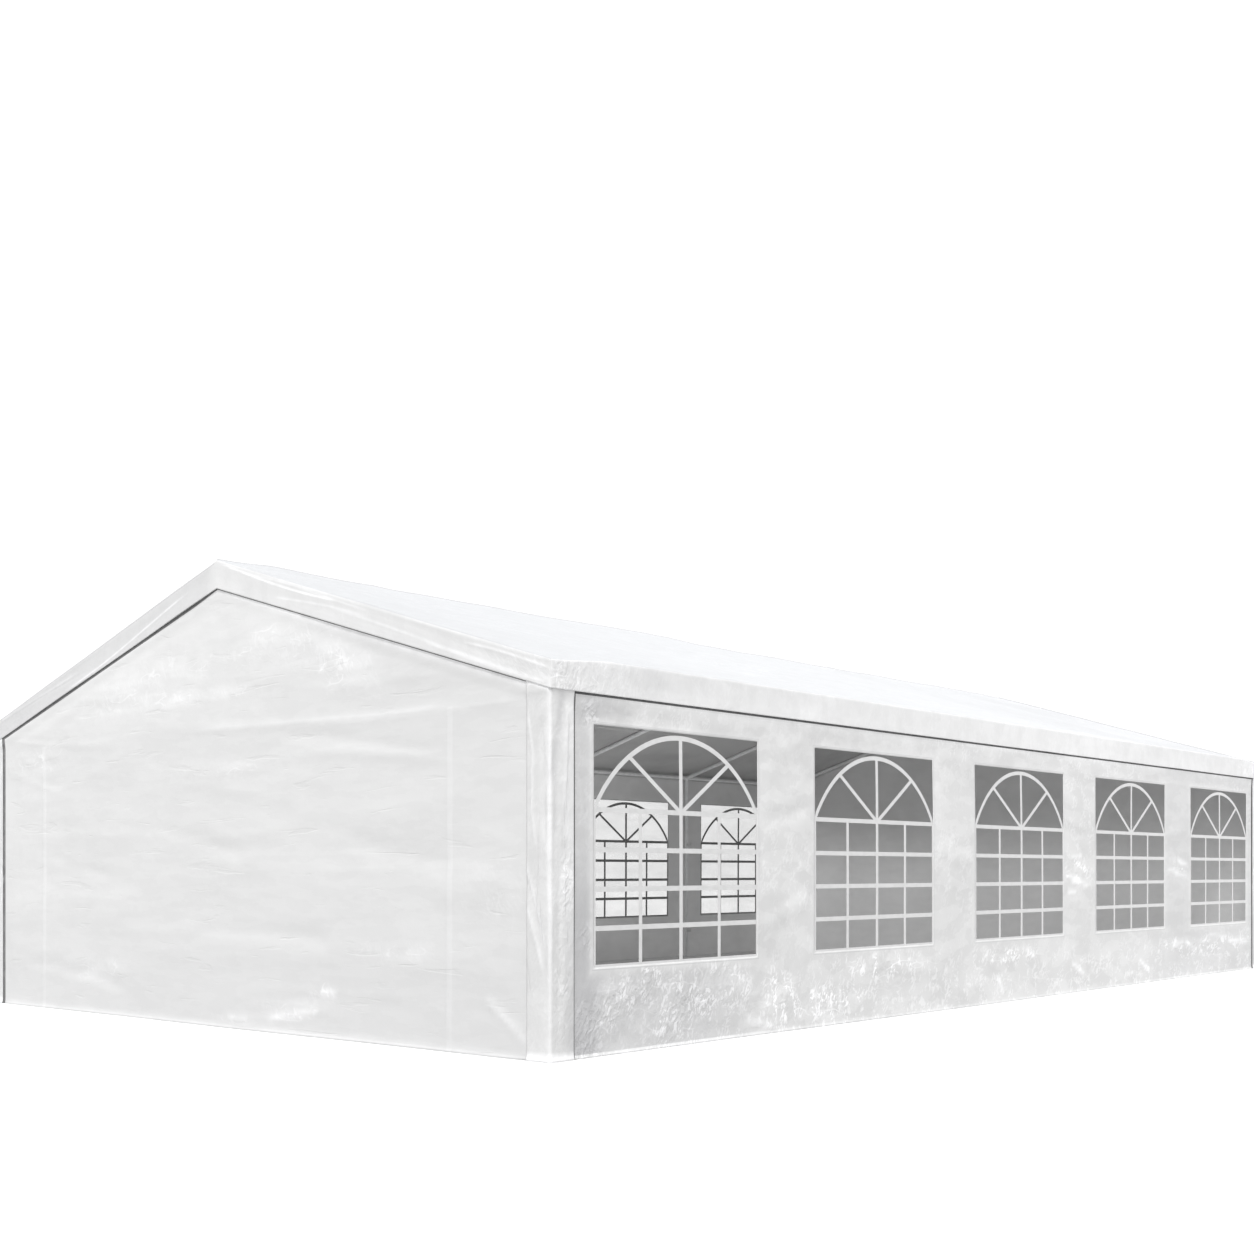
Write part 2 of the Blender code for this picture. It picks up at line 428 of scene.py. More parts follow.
@dataclass
class Relief:
    """What a sheet carries at each of its points.

    Fields: the height outwards in metres, how crumpled the cloth is, how pale it is painted (painted light
    and highlights, with some paler zips and welds) and how dark (dark seams and painted shade).
    """

    height: Grid
    crumple: Grid
    white: Grid
    seam: Grid

    @classmethod
    def flat(cls, like: Grid) -> Relief:
        """A relief with nothing on it, for points in the given layout."""
        return cls(*(np.zeros(like.shape) for _ in range(4)))

    def add_folds(self, folds: Sequence[FoldLine], u: Grid, z: Grid, share: float | Grid = 1.0) -> None:
        """Presses long creases into the height and the marks, each point taking its share of them.

        Args:
            folds: the creases.
            u: places along the sheet.
            z: heights above its foot.
            share: how far each point takes part, from 0 to 1.
        """
        for fold in folds:
            weight = share * fold.weight(u, z)
            self.height = self.height + fold.rise * weight
            # A crease with a value above 0 paints a highlight on its ridge; below 0, painted shade along it
            self.white = self.white + max(fold.white, 0.0) * weight
            self.seam = self.seam + max(-fold.white, 0.0) * weight

    def marks(self) -> dict[str, Grid]:
        """The values that the finishes read, clipped to the range from 0 to 1."""
        named = {CRUMPLE: self.crumple, WHITE: self.white, SEAM_AND_SHADE: self.seam}
        return {name: np.clip(value, 0.0, 1.0).ravel() for name, value in named.items()}


# Meshes


def spaced(stops: Sequence[float], step: float) -> Grid:
    """Grid lines that pass through every stop, no more than step apart.

    Args:
        stops: places that need a line, in rising order.
        step: the widest step allowed.

    Returns:
        The lines' places.
    """
    lines = [stops[0]]
    for low, high in zip(stops[:-1], stops[1:]):
        count = max(1, math.ceil((high - low) / step - TINY))
        lines += [low + (high - low) * k / count for k in range(1, count + 1)]
    return np.array(lines)


def rows_of(*parts: Grid) -> Grid:
    """One row for each grid point, which holds its value in every part."""
    return np.stack(parts, axis=-1).reshape(-1, len(parts))


def grid_faces(columns: int, rows: int, flip: bool, keep: Callable[[int, int], bool] | None = None) -> Rows:
    """The faces of a grid whose points run along the columns first.

    Args:
        columns: how many points lie along a row.
        rows: how many rows there are.
        flip: True to turn the faces over.
        keep: says whether the cell at (column, row) is cloth; all cells are if it is left out.

    Returns:
        Four point numbers for each face.
    """
    faces = []
    for j in range(rows - 1):
        for i in range(columns - 1):
            if keep is None or keep(i, j):
                a = j * columns + i
                quad = (a, a + 1, a + columns + 1, a + columns)
                faces.append(quad[::-1] if flip else quad)
    return faces


@dataclass
class Sheet:
    """A cloth sheet before it becomes an object.

    Fields: its points, its faces, its flat map in metres, the marks at its points, the finish number of each
    face where it has more than one, and whether it is shaded smooth.
    """

    points: Grid
    faces: Rows
    flat_map: Grid
    marks: dict[str, Grid] = field(default_factory=dict)
    zones: list[int] | None = None
    smooth: bool = True

    def build(
        self,
        name: str,
        finishes: Sequence[Material],
        thickness: float,
        inner: Material | None = None,
    ) -> Piece:
        """Makes the object and closes it into a thin solid whose outer face is the points' surface.

        Args:
            name: the piece's name.
            finishes: its finishes, in the order of the zone numbers.
            thickness: how thick the cloth is, in metres.
            inner: the finish of the face turned into the tent, where it has its own.

        Returns:
            The new object, riding on the tent's body.
        """
        mesh = bpy.data.meshes.new(name)
        mesh.from_pydata(self.points.tolist(), [], self.faces)
        for key, value in self.marks.items():
            layer = mesh.attributes.new(key, "FLOAT", "POINT")
            layer.data.foreach_set("value", value.astype(np.float32))
        corners = np.zeros(len(mesh.loops), dtype=np.int32)
        mesh.loops.foreach_get("vertex_index", corners)
        flat_map = mesh.uv_layers.new(name=CLOTH_MAP)
        flat_map.data.foreach_set("uv", self.flat_map[corners].astype(np.float32).ravel())
        for finish in finishes:
            mesh.materials.append(finish)
        if self.zones is not None:
            mesh.polygons.foreach_set("material_index", np.array(self.zones, dtype=np.int32))
        if self.smooth:
            mesh.shade_smooth()
        piece = bpy.data.objects.new(name, mesh)
        bpy.context.scene.collection.objects.link(piece)
        sewn = piece.modifiers.new("sewn_edges", "WELD")
        sewn.merge_threshold = TOUCH
        solid = piece.modifiers.new("cloth_thickness", "SOLIDIFY")
        solid.thickness = thickness
        solid.offset = -1.0
        if inner is not None:
            mesh.materials.append(inner)
            solid.material_offset = len(finishes)
        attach(piece, BODY)
        return piece


# Shader building


class Nodes:
    """Adds nodes to a tree and links them in one call."""

    def __init__(self, tree: Tree) -> None:
        """Keeps the node tree to build in."""
        self.tree = tree

    def add(
        self,
        kind: str,
        inputs: dict[str | int, object] | None = None,
        **settings: object,
    ) -> bpy.types.Node:
        """Adds one node.

        Args:
            kind: the node's type without its leading "ShaderNode".
            inputs: for each input name or number, a value or the socket that feeds it.
            settings: properties of the node itself.

        Returns:
            The new node.
        """
        node = self.tree.nodes.new(f"ShaderNode{kind}")
        for key, value in settings.items():
            setattr(node, key, value)
        for key, value in (inputs or {}).items():
            self.feed(value, node.inputs[key])
        return node

    def feed(self, value: object, socket: Socket) -> None:
        """Links a socket to an input, or sets the input's value.

        Args:
            value: a value, or the socket that gives it.
            socket: the input.
        """
        if isinstance(value, Socket):
            self.tree.links.new(value, socket)
        else:
            socket.default_value = value

    def math(self, operation: str, *values: object) -> Socket:
        """The result of one arithmetic step on values or sockets."""
        return self.add("Math", dict(enumerate(values)), operation=operation).outputs[0]

    def ramp(self, value: Socket, low: float, high: float) -> Socket:
        """0 below low and 1 above high, with a soft change between."""
        inputs = {"Value": value, "From Min": low, "From Max": high}
        return self.add("MapRange", inputs, interpolation_type="SMOOTHSTEP").outputs["Result"]

    def range(self, value: Socket, low: float, high: float) -> Socket:
        """A value from 0 to 1 spread from low to high."""
        return self.add("MapRange", {"Value": value, "To Min": low, "To Max": high}).outputs["Result"]

    def blend(self, factor: Socket, first: object, second: object) -> Socket:
        """A colour between two others, which are sockets or triples.

        Args:
            factor: 0 for the first colour and 1 for the second.
            first: a socket or a triple.
            second: a socket or a triple.

        Returns:
            The colour's socket.
        """
        mix = self.tree.nodes.new("ShaderNodeMix")
        mix.data_type = "RGBA"
        self.feed(factor, mix.inputs["Factor"])
        pair = [socket for socket in mix.inputs if socket.type == "RGBA"]
        for socket, colour in zip(pair, (first, second)):
            self.feed(colour if isinstance(colour, Socket) else (*colour, 1.0), socket)
        return next(socket for socket in mix.outputs if socket.type == "RGBA")

    def noise(self, place: Socket, scale: object, detail: float) -> Socket:
        """Cloudy noise from 0 to 1."""
        inputs = {"Vector": place, "Scale": scale, "Detail": detail}
        return self.add("TexNoise", inputs).outputs["Fac"]

    def group(self, tree: Tree, inputs: dict[str, object]) -> bpy.types.NodeOutputs:
        """What a shared group gives out for its inputs."""
        return self.add("Group", inputs, node_tree=tree).outputs

    def turned(self, place: Socket, angle: object) -> Socket:
        """A place turned in the plane."""
        return self.add("VectorRotate", {"Vector": place, "Angle": angle}, rotation_type="Z_AXIS").outputs[0]

    def cells(self, place: Socket, scale: object, metric: str) -> bpy.types.Node:
        """Random cells in the plane, with their distances measured in the given way."""
        inputs = {"Vector": place, "Scale": scale}
        return self.add("TexVoronoi", inputs, voronoi_dimensions="2D", distance=metric)

    def scaled(self, place: Socket, factors: object) -> Socket:
        """A place multiplied by a factor for each direction."""
        return self.add("VectorMath", {0: place, 1: factors}, operation="MULTIPLY").outputs[0]


@dataclass
class Group:
    """A shared shader group being built: its tree, its node builder, its inputs and its outputs."""

    tree: Tree
    nodes: Nodes
    given: bpy.types.NodeOutputs
    result: bpy.types.NodeInputs

    @classmethod
    def new(cls, name: str, inputs: dict[str, tuple[str, object]], outputs: dict[str, str]) -> Group:
        """Makes an empty group.

        Args:
            name: the group's name.
            inputs: for each input, its socket kind and its usual value.
            outputs: for each output, its socket kind.

        Returns:
            The group, ready for its nodes.
        """
        tree = bpy.data.node_groups.new(name, "ShaderNodeTree")
        for key, (kind, value) in inputs.items():
            kind = f"NodeSocket{kind}"
            socket = tree.interface.new_socket(name=key, in_out="INPUT", socket_type=kind)
            if value is not None:
                socket.default_value = value
        for key, kind in outputs.items():
            tree.interface.new_socket(name=key, in_out="OUTPUT", socket_type=f"NodeSocket{kind}")
        given = tree.nodes.new("NodeGroupInput")
        result = tree.nodes.new("NodeGroupOutput")
        return cls(tree, Nodes(tree), given.outputs, result.inputs)


def crush_group() -> Tree:
    """Facets between sharp folds as a height in metres; masks of painted glints and of painted shade in
    hollows.

    Returns:
        The group's tree.
    """
    inputs = {"Vector": ("Vector", None), "Size": ("Float", 0.055), "Lean": ("Float", 0.45)}
    outputs = {"Height": "Float", "GlintFlecks": "Float", "HollowShade": "Float"}
    group = Group.new("CrushedSheet", inputs, outputs)
    nodes, given = group.nodes, group.given
    bend = nodes.add("TexNoise", {"Vector": given["Vector"], "Scale": 7.0, "Detail": 2.0})
    pushed = nodes.scaled(bend.outputs["Color"], (0.10, 0.10, 0.0))
    place = nodes.add("VectorMath", {0: given["Vector"], 1: pushed}, operation="ADD").outputs[0]
    leaning = nodes.turned(place, given["Lean"])
    drawn = nodes.scaled(leaning, (1.0, 0.62, 1.0))
    turned = nodes.turned(drawn, 0.6)
    scale = nodes.math("DIVIDE", 1.0, given["Size"])
    coarse = nodes.cells(drawn, scale, "MANHATTAN")
    fine = nodes.cells(turned, nodes.math("MULTIPLY", scale, 2.7), "CHEBYCHEV")
    big = nodes.math("MULTIPLY", coarse.outputs["Distance"], 0.20)
    small = nodes.math("MULTIPLY", fine.outputs["Distance"], 0.11)
    height = nodes.math("MULTIPLY", nodes.math("ADD", big, small), given["Size"])
    nodes.feed(height, group.result["Height"])
    # Specks and strokes of painted glint on the facets, partly whitened creases, gathered in clusters
    slender = nodes.scaled(leaning, (1.0, 0.42, 1.0))
    clusters = nodes.noise(nodes.scaled(given["Vector"], (1.0, 0.6, 1.0)), 12.0, 3.0)
    clustered = nodes.ramp(clusters, 0.46, 0.56)
    strokes = nodes.ramp(nodes.noise(slender, nodes.math("MULTIPLY", scale, 1.7), 1.0), 0.54, 0.60)
    specks = nodes.ramp(nodes.noise(slender, nodes.math("MULTIPLY", scale, 3.2), 1.0), 0.56, 0.62)
    glint_flecks = nodes.math("MULTIPLY", nodes.math("MAXIMUM", strokes, specks), clustered)
    nodes.feed(glint_flecks, group.result["GlintFlecks"])
    # Painted shade in the hollows between the facets
    level = nodes.noise(nodes.scaled(place, (0.22, 2.2, 1.0)), scale, 1.0)
    nodes.feed(nodes.ramp(level, 0.38, 0.31), group.result["HollowShade"])
    return group.tree


def wisp_group() -> Tree:
    """Thin broken creases that all lie one way, as a mask.

    Returns:
        The group's tree.
    """
    grain = ("Vector", (2.0, 15.0, 1.0))
    inputs = {"Vector": ("Vector", None), "Grain": grain, "Amount": ("Float", 0.5)}
    group = Group.new("Wisps", inputs, {"Mask": "Float", "Bands": "Float"})
    nodes, given = group.nodes, group.given
    stretched = nodes.scaled(given["Vector"], given["Grain"])
    bent = {"Vector": stretched, "Scale": 1.0, "Detail": 3.0, "Distortion": 0.8}
    thin = nodes.add("TexNoise", bent).outputs["Fac"]
    threshold = nodes.math("SUBTRACT", 0.72, nodes.math("MULTIPLY", given["Amount"], 0.12))
    over = nodes.math("MULTIPLY", nodes.math("SUBTRACT", thin, threshold), 14.0)
    nodes.feed(nodes.math("MINIMUM", nodes.math("MAXIMUM", over, 0.0), 1.0), group.result["Mask"])
    nodes.feed(nodes.noise(stretched, 0.35, 2.0), group.result["Bands"])
    return group.tree


def hairline_group() -> Tree:
    """Thin curved creases and the soft clouds they lie in, as two masks for painted highlights.

    Returns:
        The group's tree.
    """
    inputs = {"Vector": ("Vector", None), "Grain": ("Vector", (2.0, 6.0, 1.0))}
    group = Group.new("Hairlines", inputs, {"Lines": "Float", "Clouds": "Float"})
    nodes, given = group.nodes, group.given
    drawn = nodes.scaled(given["Vector"], given["Grain"])
    level = nodes.math("ABSOLUTE", nodes.math("SUBTRACT", nodes.noise(drawn, 1.0, 2.5), 0.5))
    line = nodes.ramp(level, 0.014, 0.002)
    broken = nodes.ramp(nodes.noise(drawn, 2.3, 1.0), 0.47, 0.56)
    nodes.feed(nodes.math("MULTIPLY", line, broken), group.result["Lines"])
    nodes.feed(nodes.ramp(nodes.noise(drawn, 0.8, 3.0), 0.44, 0.62), group.result["Clouds"])
    return group.tree


def weave_group() -> Tree:
    """The flat tapes of the woven sheet, as a height from -1 to 1.

    Returns:
        The group's tree.
    """
    inputs = {"Vector": ("Vector", None), "Pitch": ("Float", 0.0028)}
    group = Group.new("TapeWeave", inputs, {"Height": "Float"})
    nodes, given = group.nodes, group.given
    split = nodes.add("SeparateXYZ", {0: given["Vector"]})
    waves = []
    for axis in ("X", "Y"):
        turns = nodes.math("DIVIDE", split.outputs[axis], given["Pitch"])
        waves.append(nodes.math("SINE", nodes.math("MULTIPLY", turns, math.pi)))
    nodes.feed(nodes.math("MULTIPLY", *waves), group.result["Height"])
    return group.tree


# Finishes

HOLLOW_SHADE_TONE = 0.86
LEAST_DEPTH = 0.02
BAND_DEPTH = 4.0
TAPE_HEIGHT = 0.00003


def grey(level: float, blue: float = 0.0) -> Colour:
    """A neutral colour, with a trace of blue if wanted."""
    return (level, level, level + blue)


def new_material(name: str) -> tuple[Material, Nodes, bpy.types.NodeInputs]:
    """An empty material with a Principled shader, a builder for its tree, and the shader's inputs.

    Args:
        name: the material's name.

    Returns:
        The material, the builder and the inputs.
    """
    material = bpy.data.materials.new(name)
    material.use_nodes = True
    return material, Nodes(material.node_tree), material.node_tree.nodes["Principled BSDF"].inputs


@dataclass(frozen=True)
class WovenFinish:
    """The coated woven sheet of the cover and the walls.

    Fields: its name and colour, which way its marks lie, the colour that pale marks and painted highlights
    blend to and the colour of dark seams and painted shade, how rough it is, how deep its crumpling, how many
    fine creases and how deep, how bright its painted glints are, how it mirrors and how it scatters, how pale
    its hairlines and their clouds are, the size of its facets, how clean its darker clouds stay, and how high
    it billows.
    """

    name: str
    colour: Colour
    grain: Grain
    pale_and_highlit: Colour = (0.97, 0.97, 0.98)
    shaded: Colour = (0.45, 0.45, 0.46)
    roughness: float = 0.36
    depth: float = 1.0
    wisps: float = 0.5
    wisp_depth: float = 0.0012
    glint_fleck: float = 1.0
    gloss: float = 0.5
    chalk: float = 0.0
    hairline: float = 0.5
    cloud: float = 0.25
    facet: float = 0.055
    mottle: float = 0.94
    billow: float = 0.004

    def make(self, groups: dict[str, Tree]) -> Material:
        """Builds the material from the shared groups.

        Args:
            groups: the shared shader groups by name.

        Returns:
            The material.
        """
        material, nodes, shader = new_material(self.name)
        place = nodes.add("UVMap", uv_map=CLOTH_MAP).outputs["UV"]
        crumple, white, seam = (
            nodes.add("Attribute", attribute_name=key).outputs["Fac"] for key in (CRUMPLE, WHITE, SEAM_AND_SHADE)
        )
        fine, hairlines, clouds = ((*pair, 1.0) for pair in self.grain.value)
        crush = nodes.group(groups["crush"], {"Vector": place, "Size": self.facet})
        wisp = nodes.group(groups["wisp"], {"Vector": place, "Grain": fine, "Amount": self.wisps})
        weave = nodes.group(groups["weave"], {"Vector": place})
        hair = nodes.group(groups["hair"], {"Vector": place, "Grain": hairlines})

        flattened = nodes.scaled(place, clouds)
        wide = nodes.ramp(nodes.noise(flattened, 1.6, 4.0), 0.38, 0.64)
        crisp = nodes.ramp(nodes.noise(flattened, 5.0, 3.0), 0.48, 0.52)
        tone = nodes.math("MULTIPLY_ADD", wide, 0.55, nodes.math("MULTIPLY", crisp, 0.45))
        # The thin creases darken the cloth too: painted shade in their grooves
        tone = nodes.math("MULTIPLY_ADD", wisp["Mask"], 0.3, tone)
        clouded_and_crease_shade = tuple(self.mottle * channel for channel in self.colour)
        cloth = nodes.blend(nodes.math("MINIMUM", tone, 1.0), self.colour, clouded_and_crease_shade)
        # Painted shade in the hollows of the crushed facets
        hollow_shade = tuple(HOLLOW_SHADE_TONE * channel for channel in self.colour)
        cloth = nodes.blend(nodes.math("MULTIPLY", crush["HollowShade"], crumple), cloth, hollow_shade)
        # Painted glints on the crushed facets, partly whitened creases; the hairlines and their clouds are
        # painted highlights
        glint_flecks = nodes.math("MULTIPLY", nodes.math("MULTIPLY", crush["GlintFlecks"], crumple), self.glint_fleck)
        lines = nodes.math("MULTIPLY", hair["Lines"], self.hairline)
        pale = nodes.math("MULTIPLY", hair["Clouds"], self.cloud)
        reach = nodes.ramp(crumple, 0.02, 0.40)
        thin_marks = nodes.math("MULTIPLY", nodes.math("ADD", lines, pale), reach)
        # The long pale marks, painted light and highlights, vary in strength at random
        mark_strength = nodes.range(nodes.ramp(nodes.noise(place, 9.0, 3.0), 0.34, 0.62), 0.70, 1.10)
        long_marks = nodes.math("MULTIPLY", white, mark_strength)
        pale_and_highlit = nodes.math("ADD", nodes.math("ADD", glint_flecks, thin_marks), long_marks)
        creased = nodes.blend(nodes.math("MINIMUM", pale_and_highlit, 1.0), cloth, self.pale_and_highlit)
        # Dark seams and painted shade blend the cloth towards the shaded colour
        nodes.feed(nodes.blend(seam, creased, self.shaded), shader["Base Color"])
        rough = nodes.range(nodes.noise(place, 7.0, 2.0), self.roughness - 0.10, self.roughness + 0.10)
        nodes.feed(rough, shader["Roughness"])
        shader["Specular IOR Level"].default_value = self.gloss
        shader["Diffuse Roughness"].default_value = self.chalk

        deep = nodes.math("MULTIPLY_ADD", crumple, self.depth, LEAST_DEPTH * self.depth)
        crushed = nodes.math("MULTIPLY", crush["Height"], deep)
        thin = nodes.math("MULTIPLY", wisp["Mask"], -self.wisp_depth)
        bands = nodes.math("MULTIPLY", wisp["Bands"], BAND_DEPTH * self.wisp_depth)
        tapes = nodes.math("MULTIPLY", weave["Height"], TAPE_HEIGHT)
        billows = nodes.math("MULTIPLY", nodes.noise(place, 3.3, 3.0), self.billow)
        height = nodes.math("ADD", nodes.math("ADD", crushed, thin), nodes.math("ADD", bands, tapes))
        height = nodes.math("ADD", height, billows)
        bump = nodes.add("Bump", {"Height": height, "Distance": 1.0, "Strength": 1.0})
        nodes.feed(bump.outputs["Normal"], shader["Normal"])
        return material


@dataclass(frozen=True)
class FilmFinish:
    """The clear film of the windows, hazy in soft streaks.

    Fields: its name and colour, how opaque it is where clear, where hazy and at a low angle, and how rough it
    is.
    """

    name: str = "clear_film"
    colour: Colour = (0.22, 0.22, 0.22)
    clear: float = 0.07
    hazy: float = 0.11
    glare: float = 0.20
    roughness: float = 0.14

    def make(self) -> Material:
        """Builds the material; it turns less clear at a low angle, as gloss takes over.

        Returns:
            The material.
        """
        material, nodes, shader = new_material(self.name)
        place = nodes.add("UVMap", uv_map=CLOTH_MAP).outputs["UV"]
        streaks = nodes.noise(nodes.scaled(place, (1.0, 4.0, 1.0)), 2.2, 4.0)
        haze = nodes.range(nodes.ramp(streaks, 0.35, 0.70), self.clear, self.hazy)
        facing = nodes.add("LayerWeight", {"Blend": 0.5}).outputs["Facing"]
        gloss = nodes.math("MULTIPLY", nodes.math("POWER", facing, 2.5), self.glare)
        nodes.feed(nodes.math("ADD", haze, gloss), shader["Alpha"])
        shader["Base Color"].default_value = (*self.colour, 1.0)
        rough = nodes.range(streaks, self.roughness - 0.05, self.roughness + 0.10)
        nodes.feed(rough, shader["Roughness"])
        bump = nodes.add("Bump", {"Height": streaks, "Distance": 0.003, "Strength": 0.4})
        nodes.feed(bump.outputs["Normal"], shader["Normal"])
        return material


@dataclass(frozen=True)
class PlainFinish:
    """An opaque coated finish with faint clouding, for strips, painted shadow lines, ties and tubes.

    Fields: its name, its colour, a second colour that clouds it, how rough and how metallic it is, the number
    of clouds for each metre, how strongly it glows as painted light that stands in for daylight through the
    sheet, and the heights at which that starts and is full.
    """

    name: str
    colour: Colour
    clouded: Colour
    roughness: float
    metallic: float = 0.0
    scale: float = 18.0
    painted_glow: float = 0.0
    glow_from: float = 1.7
    glow_to: float = 0.0

    def make(self) -> Material:
        """Builds the material.

        Returns:
            The material.
        """
        material, nodes, shader = new_material(self.name)
        place = nodes.add("TexCoord").outputs["Object"]
        cloud = nodes.noise(place, self.scale, 4.0)
        colour = nodes.blend(nodes.ramp(cloud, 0.4, 0.65), self.colour, self.clouded)
        nodes.feed(colour, shader["Base Color"])
        rough = nodes.range(cloud, self.roughness - 0.1, self.roughness + 0.15)
        nodes.feed(rough, shader["Roughness"])
        shader["Metallic"].default_value = self.metallic
        if self.painted_glow:
            # Painted light: the finish glows, brightest low down, as if daylight came through the sheet
            height = nodes.add("SeparateXYZ", {0: place}).outputs["Z"]
            low = nodes.ramp(height, self.glow_from, self.glow_to)
            nodes.feed(nodes.blend(low, (0.0, 0.0, 0.0), self.colour), shader["Emission Color"])
            shader["Emission Strength"].default_value = self.painted_glow
        bump = nodes.add("Bump", {"Height": cloud, "Distance": 0.002, "Strength": 0.25})
        nodes.feed(bump.outputs["Normal"], shader["Normal"])
        return material


@dataclass(frozen=True)
class Finishes:
    """All the finishes of the tent, made once."""

    roof: Material
    roof_inside: Material
    inside: Material
    gable_inside: Material
    wall: Material
    gable: Material
    corner: Material
    film: Material
    strip: Material
    strip_back: Material
    valance: Material
    binding: Material
    gable_binding: Material
    tube: Material
    tie: Material

    @classmethod
    def make(cls) -> Finishes:
        """Builds the shared groups and every material.

        Returns:
            The finishes, ready for the pieces.
        """
        groups = {
            "crush": crush_group(), "wisp": wisp_group(), "weave": weave_group(), "hair": hairline_group()
        }
        # One cloth in several copies, its colour set apart on each part for how the light falls there:
        # painted light and shade
        wall = WovenFinish(
            "wall_sheet", grey(0.71), Grain.EVEN, roughness=0.38, depth=0.5, wisps=-3.0, glint_fleck=2.2,
            gloss=0.45, hairline=0.45, cloud=0.15, facet=0.038, mottle=0.88, billow=0.010,
        )
        gable = WovenFinish(
            "gable_sheet", grey(0.69), Grain.LEVEL, roughness=0.46, depth=0.12, wisps=0.7, wisp_depth=0.0008,
            glint_fleck=0.3, hairline=0.26, cloud=0.22, mottle=0.95,
        )
        corner = WovenFinish("corner_sheet", grey(0.68), Grain.UPRIGHT, wisps=0.8, wisp_depth=0.0016)
        valance = WovenFinish(
            "valance_sheet", grey(0.68), Grain.EVEN, roughness=0.5, depth=0.8, wisps=-3.0, gloss=0.3,
            hairline=0.4, mottle=0.95, facet=0.04,
        )
        roof = WovenFinish(
            "roof_sheet", (0.628, 0.636, 0.650), Grain.EVEN, pale_and_highlit=(0.93, 0.94, 0.965), roughness=0.5,
            depth=0.4, wisps=-3.0, wisp_depth=0.0004, gloss=0.1, chalk=0.7, mottle=0.965,
        )
        # Inside, the walls are painted paler than outside and are glowing, painted light; the roof's inside
        # is painted darker, as painted shade
        inside = PlainFinish("wall_inside", grey(0.80), grey(0.72), 0.6, scale=3.0, painted_glow=0.10)
        gable_inside = PlainFinish(
            "gable_inside", grey(0.80), grey(0.74), 0.6, scale=3.0, painted_glow=0.27, glow_from=1.75, glow_to=0.7
        )
        tube = PlainFinish("zinc_tube", grey(0.93, 0.01), (0.82, 0.83, 0.84), 0.36, metallic=0.15, scale=22.0)
        return cls(
            roof=roof.make(groups),
            roof_inside=PlainFinish("roof_inside", grey(0.46), grey(0.38), 0.6, scale=2.0).make(),
            inside=inside.make(),
            gable_inside=gable_inside.make(),
            wall=wall.make(groups),
            gable=gable.make(groups),
            corner=corner.make(groups),
            film=FilmFinish().make(),
            strip=PlainFinish("white_strip", grey(0.67), grey(0.63), 0.42).make(),
            # The strips' backs are painted near black: painted shade for strips seen against the light
            strip_back=PlainFinish("strip_back", grey(0.06), grey(0.09), 0.5).make(),
            valance=valance.make(groups),
            # Dark grey lines under the valances and beside the corner covers: painted shadow
            binding=PlainFinish("grey_binding", grey(0.07, 0.002), grey(0.11, 0.002), 0.6).make(),
            gable_binding=PlainFinish("pale_binding", grey(0.17, 0.002), grey(0.22, 0.002), 0.6).make(),
            tube=tube.make(),
            tie=PlainFinish("tie_strap", grey(0.70, -0.01), grey(0.60, -0.01), 0.55).make(),
        )


# Sub-assemblies


@dataclass(frozen=True)
class RoofPlaces:
    """Where the points of the roof cover lie.

    Fields: the places; how much each point belongs to the slopes, to a gable valance and to a long valance,
    from 0 to 1; how near it is to a corner, and how much it lies on the round edge over a gable valance; its
    height over its valance's lower edge and its place along it; its place along its own long side, below 0
    towards the near end; and its place across its own gable, below 0 on the near slope.
    """

    x: Grid
    y: Grid
    z: Grid
    top: Grid
    end: Grid
    side: Grid
    corner: Grid
    turned: Grid
    above: Grid
    along: Grid
    own: Grid
    across: Grid


